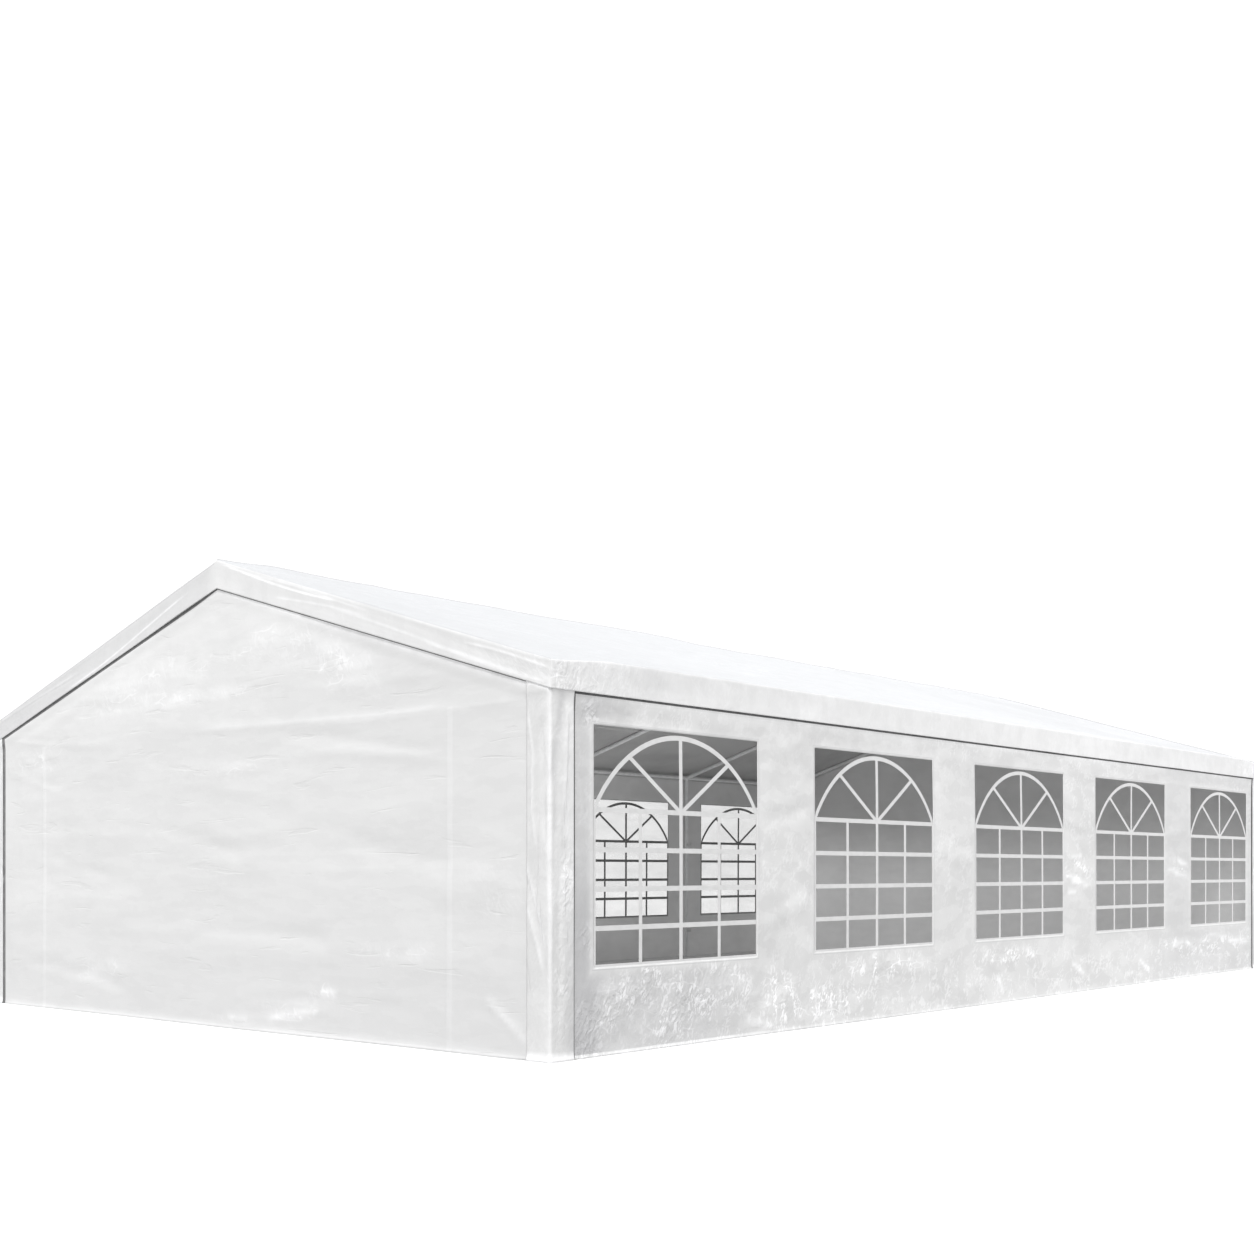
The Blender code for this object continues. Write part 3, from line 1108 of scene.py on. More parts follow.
@dataclass(frozen=True)
class RoofMarks:
    """The painted light and painted shade of the roof cover.

    Fields: strengths from 0 to 1, and where along, across or up each zone fades in; first the zones painted
    pale as painted light, then the dark seams and the zones of painted shade, then how crumpled the cloth is.
    """

    hem: float = 0.02
    lower_edge: float = 0.30
    edge_height: float = 0.004
    gable: float = 0.10
    gable_low: Fade = Fade(-0.085, -0.060, 0.05)
    slopes: float = 0.09
    slopes_near: float = 0.4
    slopes_beyond: Fade = Fade(-4.6, -2.5, 0.6)
    long_near: float = 0.27
    long_away: Fade = Fade(-2.5, 2.0, 0.05)
    long_clouds: Layer = Layer(0.07, 1.6, 4.0, 37.0)
    ridge_seam: float = 0.7
    edge_seam: float = 1.0
    rim: float = 0.45
    rim_start: float = 0.02
    rim_depth: float = 0.016
    far_gable: float = 0.25
    far_gable_from: Fade = Fade(0.02, 0.12)
    far_gable_low: Fade = Fade(1.2, 2.6, 0.15)
    turned: Fade = Fade(0.9, 1.4, 0.25)
    far_slopes: Fade = Fade(0.5, 3.5, 0.25)
    far_even: float = 0.3
    far_clouds: Layer = Layer(1.0, 0.6, 0.9, 41.0)
    far_cloudy: Fade = Fade(-0.5, 0.6, 0.7)
    dark_fold: Swell = Swell(-4.25, 0.10, 0.18)
    beside_fold: Fade = Fade(2.2, 3.6, 0.05)
    fold_height: Fade = Fade(0.03, 0.08)
    long_far: Fade = Fade(1.0, 3.5, 0.14)
    long_end: Fade = Fade(4.6, 4.95, 0.15)
    crumple: float = 0.02
    crumple_long: float = 0.05
    crumple_corner: float = 0.35
    crumple_gable: float = 0.12
    crumple_slopes: Layer = Layer(0.10, 0.8, 0.8, 31.0, Form.CLOUDS)

    def press(self, relief: Relief, at: RoofPlaces, in_hem: Grid, rim: Grid) -> None:
        """Adds the painted light, the painted shade and the crumpling to the relief.

        Args:
            relief: the relief of the roof cover.
            at: where its points lie.
            in_hem: 1 in the hems and 0 elsewhere.
            rim: 1 on the rim over the gables and 0 elsewhere.
        """
        # Painted light: paler hems, lower edges, gable valances, slopes and long valances
        relief.white += self.hem * in_hem + self.lower_edge * (1.0 - at.top) * (at.above < self.edge_height)
        relief.white += at.end * (self.gable + self.gable_low.at(-at.above))
        relief.white += self.slopes * at.top * (self.slopes_near + self.slopes_beyond.at(at.own))
        clouds = self.long_clouds.lift(at.along, at.above)
        relief.white += at.side * (self.long_near + self.long_away.at(at.own) + clouds)
        # Painted shade: the rims, the far gable valances, the round edges, the far slopes, a fold near each
        # long valance's end and the long valances' far parts
        relief.seam += self.rim * at.end * (at.across > self.rim_start) * rim
        far_gable = self.far_gable + self.far_gable_low.at(at.across)
        relief.seam += at.end * self.far_gable_from.at(at.across) * far_gable
        relief.seam += at.turned * self.turned.at(-at.across)
        cloudy = self.far_even + self.far_cloudy.at(self.far_clouds.lift(at.x, at.y))
        relief.seam += at.top * self.far_slopes.at(at.own) * cloudy
        folded = self.dark_fold.at(at.own) + self.beside_fold.at(-at.own)
        relief.seam += at.side * folded * self.fold_height.at(at.above)
        relief.seam += at.side * (self.long_far.at(at.own) + self.long_end.at(at.own))
        at_corner = self.crumple_corner * at.side + self.crumple_gable * at.end
        relief.crumple = self.crumple + at_corner * at.corner + self.crumple_long * at.side
        relief.crumple += at.top * self.crumple_slopes.lift(at.x, at.y)


@dataclass
class RoofCover:
    """The roof sheet with its valances, one piece of cloth over the whole frame.

    Fields: the tent's sizes; the round of its folds, and how far from the ends, eaves and ridge that changes;
    how the eave is drawn up and the roof sags; the spacing of its grid, with its fine part as a share of the
    fold; its hem and its two raised seams; how a normal tells slope, gable valance and round edge apart;
    where the slopes are held and the valances hang loose; its layers of noise, with their gains where they
    are stronger; its painted light and shade; and the drawn-out folds of the left gable's valance, as places
    across the tent and above the hem, with painted highlights on their ridges and painted shade in their
    hollows.
    """

    sizes: TentSizes
    fold_radius: float = 0.020
    eave_radius: float = 0.014
    corner_radius: float = 0.014
    apex_radius: float = 0.014
    edge_radius: float = 0.013
    end_round: float = 0.13
    eave_round: float = 0.12
    apex_round: float = 0.10
    upright_depths: Point = (0.015, 0.060)
    eave_lift: float = 0.027
    lift_along: Fade = Fade(0.03, 0.45)
    lift_reach: float = 0.60
    lift_above: float = 0.01
    sag: float = 0.020
    sag_flatness: float = 0.8
    fine_reach: float = 2.5
    step: float = 0.058
    end_step: float = 0.026
    end_reach: float = 0.9
    fine_step: float = 0.0065
    valance_rows: int = 25
    thickness: float = 0.0015
    hem: float = 0.045
    hem_rise: float = 0.0003
    sink: float = 0.0010
    seam_half: float = 0.004
    seam_rise: float = 0.007
    edge_seam: float = 0.025
    edge_half: float = 0.002
    edge_rise: float = 0.010
    upward: Fade = Fade(0.35, 0.85)
    endward: Fade = Fade(0.4, 0.8)
    turned: Swell = Swell(0.66, 0.20)
    turned_endward: float = 0.3
    held_end: Fade = Fade(0.05, 0.45)
    held_eave: Fade = Fade(0.04, 0.40)
    corner_reach: float = 0.45
    loose: Fade = Fade(-0.14, 0.0)
    waves: Layer = Layer(0.008, 0.8, 0.9, 3.0)
    buckles: Layer = Layer(0.004, 2.3, 1.7, 5.0)
    drawn: Layer = Layer(0.006, 0.8, 0.7, 7.0, Form.RIDGES, lean=0.4)
    rim_waves: Layer = Layer(0.0025, 2.0, 2.0, 11.0)
    sway: Layer = Layer(0.001, 1.3, 2.0, 17.0)
    sway_gain: float = 2.5
    ripples: Layer = Layer(0.0004, 9.0, 5.0, 19.0)
    ripple_gain: float = 5.5
    creases: Layer = Layer(0.0014, 1.4, 3.0, 23.0, Form.RIDGES, lean=1.5)
    level_ripples: Layer = Layer(0.0004, 1.2, 20.0, 27.0)
    marks: RoofMarks = RoofMarks()
    folds: tuple[FoldLine, ...] = each(
        FoldLine,
        (-0.05, 0.15, -1.15, 0.14, 0.006, 0.0008, 0.8),
        (-0.3, 0.12, -1.45, 0.142, 0.006, 0.0006, 0.3),
        (-0.55, 0.06, -1.4, 0.078, 0.007, 0.0005, 0.3),
        (-1.1, 0.048, -2.76, 0.062, 0.008, 0.0006, 0.3),
        (-1.2, 0.1, -2.5, 0.095, 0.022, -0.0016),
        (-2.15, 0.092, -2.8, 0.106, 0.007, 0.0012, 0.5),
        (-1.9, 0.03, -2.78, 0.038, 0.006, 0.0006, 0.3),
        (0.3, 0.072, 1.75, 0.042, 0.006, 0.0012, 0.8), (0.6, 0.11, 1.9, 0.095, 0.02, -0.0014),
        (0.75, 0.026, 2.6, 0.07, 0.007, -0.0014), (1.6, 0.105, 2.75, 0.098, 0.008, 0.0014, 0.3),
    )

    def build(self, finishes: Finishes) -> list[Piece]:
        """Makes the sheet and hides the solid that it replaces.

        Args:
            finishes: all the finishes.

        Returns:
            The new pieces.
        """
        s = self.sizes
        length, width = s.roof_half_length, s.roof_half_width
        xs, ys = self._lines()
        down = np.linspace(0.0, 1.0, self.valance_rows)
        points: list[Grid] = []
        flat: list[Grid] = []
        faces: Rows = []
        zones: list[int] = []

        def add(x: Grid, y: Grid, z: Grid, flat_x: Grid, flat_y: Grid, flip: bool) -> None:
            """Adds one flat part of the cover, with its place in the flat map.

            Args:
                x: places along the tent.
                y: places across it.
                z: heights.
                flat_x: places along the flat map.
                flat_y: places across the flat map.
                flip: True to turn the faces over.
            """
            start = sum(len(block) for block in points)
            points.append(rows_of(x, y, z))
            flat.append(rows_of(flat_x, flat_y))
            rows, columns = x.shape
            faces.extend(tuple(i + start for i in face) for face in grid_faces(columns, rows, flip))
            zones.extend([int(start > 0)] * (len(faces) - len(zones)))

        gx, gy = np.meshgrid(xs, ys)
        add(gx, gy, s.roof_z(gy), gx, gy * s.stretch, False)
        for side in Side:
            gx, gt = np.meshgrid(xs, down)
            drop = gt * (s.eave_z - s.valance_z)
            gy = np.full_like(gx, side.value * width)
            add(gx, gy, s.eave_z - drop, gx, side.value * (width * s.stretch + drop), side is Side.FRONT)
        for end in End:
            gy, gt = np.meshgrid(ys, down)
            drop = gt * (s.roof_z(gy) - s.valance_line(gy))
            gx = np.full_like(gy, end.value * length)
            add(gx, gy, s.roof_z(gy) - drop, end.value * (length + drop), gy * s.stretch, end is End.RIGHT)

        sharp = np.concatenate(points)
        radius = self._radius(sharp)
        centre = self._inner_point(sharp, radius)
        away = sharp - centre
        normals = away / np.maximum(np.linalg.norm(away, axis=1, keepdims=True), SHORTEST)
        relief = self._relief(sharp, normals)
        rounded = centre + normals * (radius + relief.height)[:, None]
        rounded[:, 2] += self._lift(sharp)
        sheet = Sheet(rounded, faces, np.concatenate(flat), relief.marks(), zones)
        outer = [finishes.roof, finishes.valance]
        piece = sheet.build("roof_sheet", outer, self.thickness, finishes.roof_inside)
        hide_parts("roof_cover")
        return [piece]

    def _lines(self) -> tuple[Grid, Grid]:
        """The grid lines along and across the tent, close together in the folds and closer near the ends.

        Returns:
            Places along the tent and places across it.
        """
        near = self.fine_reach * self.fold_radius
        length, width = self.sizes.roof_half_length, self.sizes.roof_half_width
        half_x = np.concatenate([
            spaced([0.0, length - self.end_reach], self.step)[:-1],
            spaced([length - self.end_reach, length - near], self.end_step)[:-1],
            spaced([length - near, length], self.fine_step),
        ])
        half_y = np.concatenate([
            spaced([0.0, near], self.fine_step)[:-1],
            spaced([near, width - near], self.step)[:-1],
            spaced([width - near, width], self.fine_step),
        ])
        both = (np.concatenate([-half[::-1][:-1], half]) for half in (half_x, half_y))
        return tuple(both)

    def _radius(self, p: Grid) -> Grid:
        """How round the fold is at each point; it opens out towards the four corners.

        Args:
            p: points of the sharp form.

        Returns:
            Radii in metres.
        """
        s = self.sizes
        end = bell(np.abs(p[:, 0]), s.roof_half_length, self.end_round)
        corner = end * bell(np.abs(p[:, 1]), s.roof_half_width, self.end_round)
        apex = end * bell(p[:, 1], 0.0, self.apex_round)
        eave = (1.0 - end) * bell(np.abs(p[:, 1]), s.roof_half_width, self.eave_round)
        radius = self.fold_radius + (self.corner_radius - self.fold_radius) * corner
        radius += (self.eave_radius - self.fold_radius) * eave
        radius += (self.apex_radius - self.fold_radius) * apex
        start, full = self.upright_depths
        upright = corner * smooth_step(-p[:, 2], start - s.eave_z, full - s.eave_z)
        return radius + (self.edge_radius - radius) * upright

    def _lift(self, p: Grid) -> Grid:
        """How far the eave is drawn up between the corners by the tightened roof.

        Args:
            p: points of the sharp form.

        Returns:
            Metres upwards.
        """
        s = self.sizes
        between = self.lift_along.at(s.roof_half_length - np.abs(p[:, 0]))
        near_eave = smooth_step(np.abs(p[:, 1]), s.roof_half_width - self.lift_reach, s.roof_half_width)
        over_edge = smooth_step(p[:, 2], s.valance_z + self.lift_above, s.eave_z)
        return self.eave_lift * between * near_eave * over_edge

    def _inner_point(self, p: Grid, radius: Grid) -> Grid:
        """For each point of the sharp form, the nearest one of the form shrunk by the fold radius.

        Args:
            p: points of the sharp form.
            radius: the fold's radius at each.

        Returns:
            The inner points.
        """
        s, r = self.sizes, radius
        x = np.sign(p[:, 0]) * np.minimum(np.abs(p[:, 0]), s.roof_half_length - r)
        width = s.roof_half_width - r
        y, sign = np.abs(p[:, 1]), np.where(p[:, 1] < 0, -1.0, 1.0)
        apex = s.ridge_z - r * s.stretch
        beyond = np.maximum(p[:, 2] - (apex - y * s.slope), 0.0) / s.stretch
        inner_y, inner_z = y - beyond * s.slope / s.stretch, p[:, 2] - beyond / s.stretch
        past_ridge, past_eave = inner_y < 0.0, inner_y > width
        inner_z = np.where(past_ridge, apex, inner_z)
        inner_z = np.where(past_eave, np.minimum(p[:, 2], apex - width * s.slope), inner_z)
        return np.stack([x, sign * np.clip(inner_y, 0.0, width), inner_z], axis=1)

    def _places(self, p: Grid, normals: Grid) -> RoofPlaces:
        """Sorts the points into slopes and valances by the way they face.

        Args:
            p: points of the sharp form.
            normals: the way each one faces.

        Returns:
            Where the points lie.
        """
        s = self.sizes
        x, y, z = p.T
        top = self.upward.at(normals[:, 2])
        end = (1.0 - top) * self.endward.at(np.abs(normals[:, 0]))
        at_end = end > 0.5
        corner = bell(np.abs(x), s.roof_half_length, self.corner_reach)
        return RoofPlaces(
            *p.T,
            top=top,
            end=end,
            side=(1.0 - top) * (1.0 - end),
            corner=corner * bell(np.abs(y), s.roof_half_width, self.corner_reach),
            turned=self.turned.at(normals[:, 2]) * (np.abs(normals[:, 0]) > self.turned_endward),
            above=z - np.where(at_end, s.valance_line(y), s.valance_z),
            along=np.where(at_end, y, x),
            own=x * np.sign(-y),
            across=y * np.sign(-x),
        )

    def _slope_height(self, at: RoofPlaces) -> Grid:
        """The sag between the frames, soft waves and drawn ridges.

        Args:
            at: where the points lie.

        Returns:
            Metres outwards, 0 off the slopes.
        """
        s = self.sizes
        between = 0.5 - 0.5 * np.cos(2 * math.pi * (at.x + s.bay_length / 2) / s.bay_length)
        up_slope = np.clip(np.abs(at.y) / s.roof_half_width, 0.0, 1.0)
        sag = -self.sag * between * np.sin(math.pi * up_slope) ** self.sag_flatness
        free = self.held_end.at(s.roof_half_length - np.abs(at.x))
        free = free * self.held_eave.at(s.roof_half_width - np.abs(at.y))
        slope_y = np.abs(at.y) * s.stretch
        waves = self.waves.lift(at.x, at.y) + self.buckles.lift(at.x, at.y)
        drawn = self.drawn.lift(at.x, slope_y)
        rim = (1.0 - free) * self.rim_waves.lift(at.x, at.y)
        return at.top * (sag + free * (waves + drawn) + rim)

    def _valance_height(self, at: RoofPlaces) -> Grid:
        """The valances' sway, ripples and creases.

        Args:
            at: where the points lie.

        Returns:
            Metres outwards, 0 off the valances.
        """
        loose = 1.0 + self.sway_gain * self.loose.at(-at.above)
        height = (1.0 - at.top) * loose * self.sway.lift(at.along, at.above)
        rippled = 1.0 + self.ripple_gain * at.corner
        height += at.side * rippled * self.ripples.lift(at.along, at.above)
        height += at.side * self.creases.lift(at.along, at.above)
        return height + at.end * self.level_ripples.lift(at.along, at.above)

    def _relief(self, p: Grid, normals: Grid) -> Relief:
        """Sag and soft waves on the slopes; drawn-out folds, waves and a hem on the valances.

        Args:
            p: points of the sharp form.
            normals: the way each one faces.

        Returns:
            The relief.
        """
        s = self.sizes
        at = self._places(p, normals)
        relief = Relief.flat(at.x)
        relief.height = self._slope_height(at) + self._valance_height(at)
        relief.add_folds(self.folds, at.across, at.above, at.end)
        hanging = 1.0 - at.top
        in_hem = hanging * (at.above < self.hem)
        relief.height += self.hem_rise * in_hem
        relief.height = np.where(hanging > 0.5, np.maximum(relief.height, -self.sink), relief.height)
        on_ridge = at.top * (np.abs(at.y) < self.seam_half)
        from_edge = s.roof_half_length - self.edge_seam - at.own
        on_edge = at.top * (np.abs(from_edge) < self.edge_half)
        relief.height += self.seam_rise * on_ridge + self.edge_rise * on_edge
        relief.seam += self.marks.ridge_seam * on_ridge + self.marks.edge_seam * on_edge
        self.marks.press(relief, at, in_hem, at.z > s.roof_z(at.y) - self.marks.rim_depth)
        return relief


@dataclass(frozen=True)
class LongWallMarks:
    """The painted light and painted shade of a long wall; a place along it is above 0 towards its near end.

    Fields: strengths from 0 to 1, and where along, up or below the valance each zone fades in; first the pale
    zones: painted light on the hem, high up and just under the valance, where it offsets the valance's
    shadow, and the paler welds; then the dark ones: painted shade at the near end, the foot and the far end,
    and the dark weld line.
    """

    hem: float = 0.12
    hem_palest: Swell = Swell(3.9, 0.8, 0.28)
    weld: float = 0.06
    top: Fade = Fade(1.69, 1.74, 0.12)
    top_along: Fade = Fade(-4.4, -3.4)
    lit_under_valance: float = 0.35
    sheltered_gain: Fade = Fade(-4.5, -4.1, 0.25)
    sheltered_depth: float = 0.012
    sheltered_reach: float = 0.016
    near_end: float = 0.42
    near_end_from: Fade = Fade(4.50, 4.76)
    near_end_low: Fade = Fade(-1.15, -0.70, 0.42)
    foot_along: Fade = Fade(3.1, 3.9, 0.36)
    foot_down: Fade = Fade(-0.52, -0.40)
    far_end: Fade = Fade(1.9, 3.0, 0.26)
    off_windows: Fade = Fade(0.01, 0.06)
    weld_line: float = 0.55

    def press(self, relief: Relief, own: Grid, z: Grid, away: Grid, in_hem: Grid) -> None:
        """Adds the painted light and painted shade that lie over the whole wall to the relief.

        Args:
            relief: the relief of the wall.
            own: places along the wall.
            z: heights above the ground.
            away: distances to the nearest window.
            in_hem: 1 in the hem and 0 elsewhere.
        """
        relief.white += (self.hem + self.hem_palest.at(own)) * in_hem
        relief.white += self.top.at(z) * self.top_along.at(-own)
        # Painted shade at the near end, at the foot and towards the far end
        near_end = self.near_end_from.at(own) * (self.near_end + self.near_end_low.at(-z))
        foot = self.foot_along.at(own) * self.foot_down.at(-z)
        dark = np.maximum(np.maximum(near_end, foot), self.far_end.at(-own))
        relief.seam += dark * (1.0 - in_hem) * self.off_windows.at(away)

    def under_valance(self, own: Grid, under: Grid) -> Grid:
        """Painted light just under the valance, offsetting its shadow, at each distance below it where it
        shows.
        """
        fading = np.exp(-np.maximum(under - self.sheltered_depth, 0.0) / self.sheltered_reach)
        return (self.lit_under_valance + self.sheltered_gain.at(-own)) * fading


@dataclass
class WindowWall:
    """One long wall with its window openings, its films and the white strips on them.

    Fields: the tent's sizes, which side it is, its crumpled places, its long creases and its place in the
    noise; the spacing of its grid and its thickness; the welded edge round each window; its hem, and how far
    it flares at the foot and is pushed out under the valance; the painted shadow lines under the valance and
    beside the corner covers, with the part of each that is hidden; how far the cloth's clouds are drawn out,
    and from where; its films; its belly and where that is held; where relief is kept off; its crumpling and
    layers of noise; its painted light and shade; and its windows.
    """

    sizes: TentSizes
    side: Side
    patches: tuple[Patch, ...]
    folds: tuple[FoldLine, ...]
    seed: float
    step: float = 0.0255
    thickness: float = 0.0012
    welt: float = 0.014
    welt_rise: float = 0.0003
    seam_width: float = 0.004
    seam_half: float = 0.001
    flare: float = 0.006
    hem: float = 0.018
    push: float = 0.005
    push_gain: Fade = Fade(0.20, 0.40, 0.002)
    push_depths: Point = (0.12, 0.01)
    top_binding: float = 0.0112
    top_hidden: float = 0.004
    end_binding: float = 0.004
    end_hidden: float = 0.02
    taper: Fade = Fade(-1.0, -0.4, 0.004)
    drawn: float = 0.034
    drawn_from: float = 3.0
    film_thickness: float = 0.0005
    lap: float = 0.010
    film_gap: float = 0.0004
    film_grid: tuple[int, int] = (50, 44)
    belly: Layer = Layer(0.007, 0.35, 0.5, 0.0, Form.BELLY)
    held_end: Fade = Fade(0.15, 0.7)
    held_top: Fade = Fade(0.12, 0.6)
    off_windows: Fade = Fade(0.01, 0.13)
    off_ends: Fade = Fade(0.17, 0.30)
    off_valance: Fade = Fade(0.015, 0.12)
    crumpling: Crumpling = Crumpling(
        0.04,
        Fade(-0.5, -0.15, 0.12),
        Layer(0.10, 0.7, 1.3, 5.0, Form.CLOUDS),
        Layer(0.5, 5.0, 6.0, 3.0),
    )
    crumple_least: float = 0.25
    crumple_away: Fade = Fade(0.0, 0.04, 0.75)
    ridges: Layer = Layer(0.0040, 0.9, 1.3, 9.0, Form.RIDGES, sharp=3.0, lean=0.5)
    waves: Layer = Layer(0.0045, 1.0, 2.0, 13.0)
    ripples: Layer = Layer(0.0025, 5.0, 6.0, 15.0)
    ripple_least: float = 0.10
    crushed: Layer = Layer(0.0045, 9.0, 6.0, 17.0, Form.FACETS)
    film_waves: Layer = Layer(0.0010, 1.4, 1.8, 41.0)
    film_edge: Fade = Fade(0.0, 0.25)
    marks: LongWallMarks = LongWallMarks()
    windows: list[Window] = field(default_factory=list)

    def __post_init__(self) -> None:
        """Reads the openings from the films' solids."""
        for i in range(1, self.sizes.bays + 1):
            low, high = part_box(f"window_film_{self.side.label}_{i}")
            self.windows.append((low[0], high[0], low[2], high[2]))

    @property
    def face(self) -> float:
        """Distance of the wall's outer face from the middle of the tent, where it is flat."""
        return self.sizes.wall_half_width - CLOTH_INSET

    def hang(self, x: Grid, z: Grid) -> Grid:
        """How far the whole wall bellies out, windows and all.

        Args:
            x: places along the wall.
            z: heights above the ground.

        Returns:
            Metres outwards.
        """
        s = self.sizes
        held = self.held_end.at(s.wall_half_length - np.abs(x)) * self.held_top.at(s.wall_top_z - z)
        return held * self.belly.lift(x, z, self.seed)

    def near_window(self, x: Grid, z: Grid) -> Grid:
        """Distance to the nearest window, 0 inside it.

        Args:
            x: places along the wall.
            z: heights above the ground.

        Returns:
            Metres.
        """
        best = np.full_like(x, np.inf)
        for low_x, high_x, low_z, high_z in self.windows:
            beside = np.maximum(np.maximum(low_x - x, x - high_x), 0.0)
            above = np.maximum(np.maximum(low_z - z, z - high_z), 0.0)
            best = np.minimum(best, np.maximum(beside, above))
        return best

    def build(self, finishes: Finishes) -> list[Piece]:
        """Makes the wall, its films and their strips.

        Args:
            finishes: all the finishes.

        Returns:
            The new pieces.
        """
        s = self.sizes
        xs, zs = self._lines()
        gx, gz = np.meshgrid(xs, zs)
        relief = self._relief(gx, gz)
        y = self.side.value * (self.face + relief.height)
        middle_x, middle_z = (xs[:-1] + xs[1:]) / 2, (zs[:-1] + zs[1:]) / 2
        cover_edge = s.long_cover_edge
        on_line = np.isclose(np.abs(gx), cover_edge - self.end_binding)
        gx = gx + on_line * np.sign(gx) * self.taper.at(-gz)

        def is_cloth(i: int, j: int) -> bool:
            """Says whether the cell lies outside every window."""
            x, z = middle_x[i], middle_z[j]
            return not any(a < x < b and c < z < d for a, b, c, d in self.windows)

        def is_binding(i: int, j: int) -> bool:
            """Says whether the cell is a painted shadow line, under the valance or beside a corner cover.

            Args:
                i: the cell's column.
                j: the cell's row.

            Returns:
                True for a painted shadow line.
            """
            under = s.valance_z - self.top_binding < middle_z[j] < s.valance_z + self.top_hidden
            beside = cover_edge - self.end_binding < abs(middle_x[i]) < cover_edge + self.end_hidden
            return under or beside

        cells = [(i, j) for j in range(len(zs) - 1) for i in range(len(xs) - 1) if is_cloth(i, j)]
        faces = grid_faces(len(xs), len(zs), self.side is Side.BACK, is_cloth)
        zones = [int(is_binding(i, j)) for i, j in cells]
        far = np.maximum(self.drawn_from - gx * self.side.value, 0.0)
        mapped = gx + self.side.value * self.drawn * far**2
        flat_map = rows_of(mapped + 2 * self.seed, gz)
        sheet = Sheet(rows_of(gx, y, gz), faces, flat_map, relief.marks(), zones)
        outer = [finishes.wall, finishes.binding]
        wall = sheet.build(f"long_wall_{self.side.label}", outer, self.thickness, finishes.inside)
        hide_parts(f"window_wall_{self.side.label}")
        made = [wall]
        for i, window in enumerate(self.windows, start=1):
            made += self._window(i, window, finishes)
        return made

    def _lines(self) -> tuple[Grid, Grid]:
        """The grid lines along and up the wall, with a line on every edge that shows.

        Returns:
            Places along the wall and heights.
        """
        s = self.sizes
        edge = s.long_cover_edge
        x_stops = [-s.wall_half_length, -edge - self.end_hidden, -edge + self.end_binding]
        for low_x, high_x, _, _ in self.windows:
            x_stops += self._weld_lines(low_x, high_x)
        x_stops += [edge - self.end_binding, edge + self.end_hidden, s.wall_half_length]
        _, _, low_z, high_z = self.windows[0]
        z_stops = [0.0, self.hem / 2, self.hem, self.hem + self.seam_width]
        z_stops += self._weld_lines(low_z, high_z)
        z_stops += [s.valance_z - self.top_binding, s.valance_z + self.top_hidden, s.wall_top_z]
        return spaced(x_stops, self.step), spaced(z_stops, self.step)

    def _weld_lines(self, low: float, high: float) -> list[float]:
        """The grid lines of an opening from low to high, with both sides of its welds.

        Args:
            low: its lower edge.
            high: its upper edge.

        Returns:
            The lines' places, in rising order.
        """
        outer, seam = (low - self.welt, high + self.welt), self.seam_width
        below = [outer[0] - seam, outer[0], outer[0] + seam, low]
        return below + [high, outer[1] - seam, outer[1], outer[1] + seam]

    def _relief(self, x: Grid, z: Grid) -> Relief:
        """Belly, creases, crumpled patches, welded window edges and the flared foot.

        Args:
            x: places along the wall.
            z: heights above the ground.

        Returns:
            The relief.
        """
        s, seed = self.sizes, self.seed
        relief = Relief.flat(x)
        away, from_end, under = self.near_window(x, z), s.wall_half_length - np.abs(x), s.valance_z - z
        free = self.off_windows.at(away)
        crumple = self.crumpling.at(self.patches, x, z, x, seed)
        relief.add_folds(self.folds, x, z)
        relief.height += self.ridges.lift(x, z, seed) + self.waves.lift(x, z, seed)
        relief.height += self.ripples.lift(x, z, seed) * (self.ripple_least + crumple)
        relief.height += crumple * self.crushed.lift(x, z, seed)
        relief.height *= free * self.off_ends.at(from_end) * self.off_valance.at(under)
        push = self.push + self.push_gain.at(from_end)
        start, full = self.push_depths
        relief.height += self.hang(x, z) + push * smooth_step(z, s.valance_z - start, s.valance_z - full)
        on_weld, in_hem = away < self.welt * PAST_LINE, 1.0 * (z < self.hem * PAST_LINE)
        relief.height += self.welt_rise * on_weld + self.flare * flared(z)
        relief.crumple = crumple * (self.crumple_least + self.crumple_away.at(away))
        relief.white = relief.white * free + self.marks.weld * on_weld
        own = x * self.side.value
        self.marks.press(relief, own, z, away, in_hem)
        weld_line = self.marks.weld_line * (np.abs(away - self.welt) < self.seam_half)
        relief.seam = np.maximum(relief.seam, weld_line)
        # Painted light just under the valance, offsetting its shadow
        relief.white += self.marks.under_valance(own, under) * (under > self.top_hidden)
        return relief

    def _window(self, number: int, window: Window, finishes: Finishes) -> list[Piece]:
        """One clear film behind its opening, and the white strips on the film.

        Args:
            number: the window's number, from 1.
            window: its edges.
            finishes: all the finishes.

        Returns:
            The film and its strips.
        """
        low_x, high_x, low_z, high_z = window
        columns, rows = self.film_grid
        xs = np.linspace(low_x - self.lap, high_x + self.lap, columns)
        zs = np.linspace(low_z - self.lap, high_z + self.lap, rows)
        gx, gz = np.meshgrid(xs, zs)
        y = self.side.value * (self.face - self.thickness - self.film_gap + self.film_wave(gx, gz, window))
        faces = grid_faces(columns, rows, self.side is Side.BACK)
        sheet = Sheet(rows_of(gx, y, gz), faces, rows_of(gx + 2 * self.seed, gz))
        name = f"clear_film_{self.side.label}_{number}"
        film = sheet.build(name, [finishes.film], self.film_thickness)
        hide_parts(f"window_film_{self.side.label}_{number}")
        bars = WindowBars(window).build(self, number, finishes)
        return [film, bars]

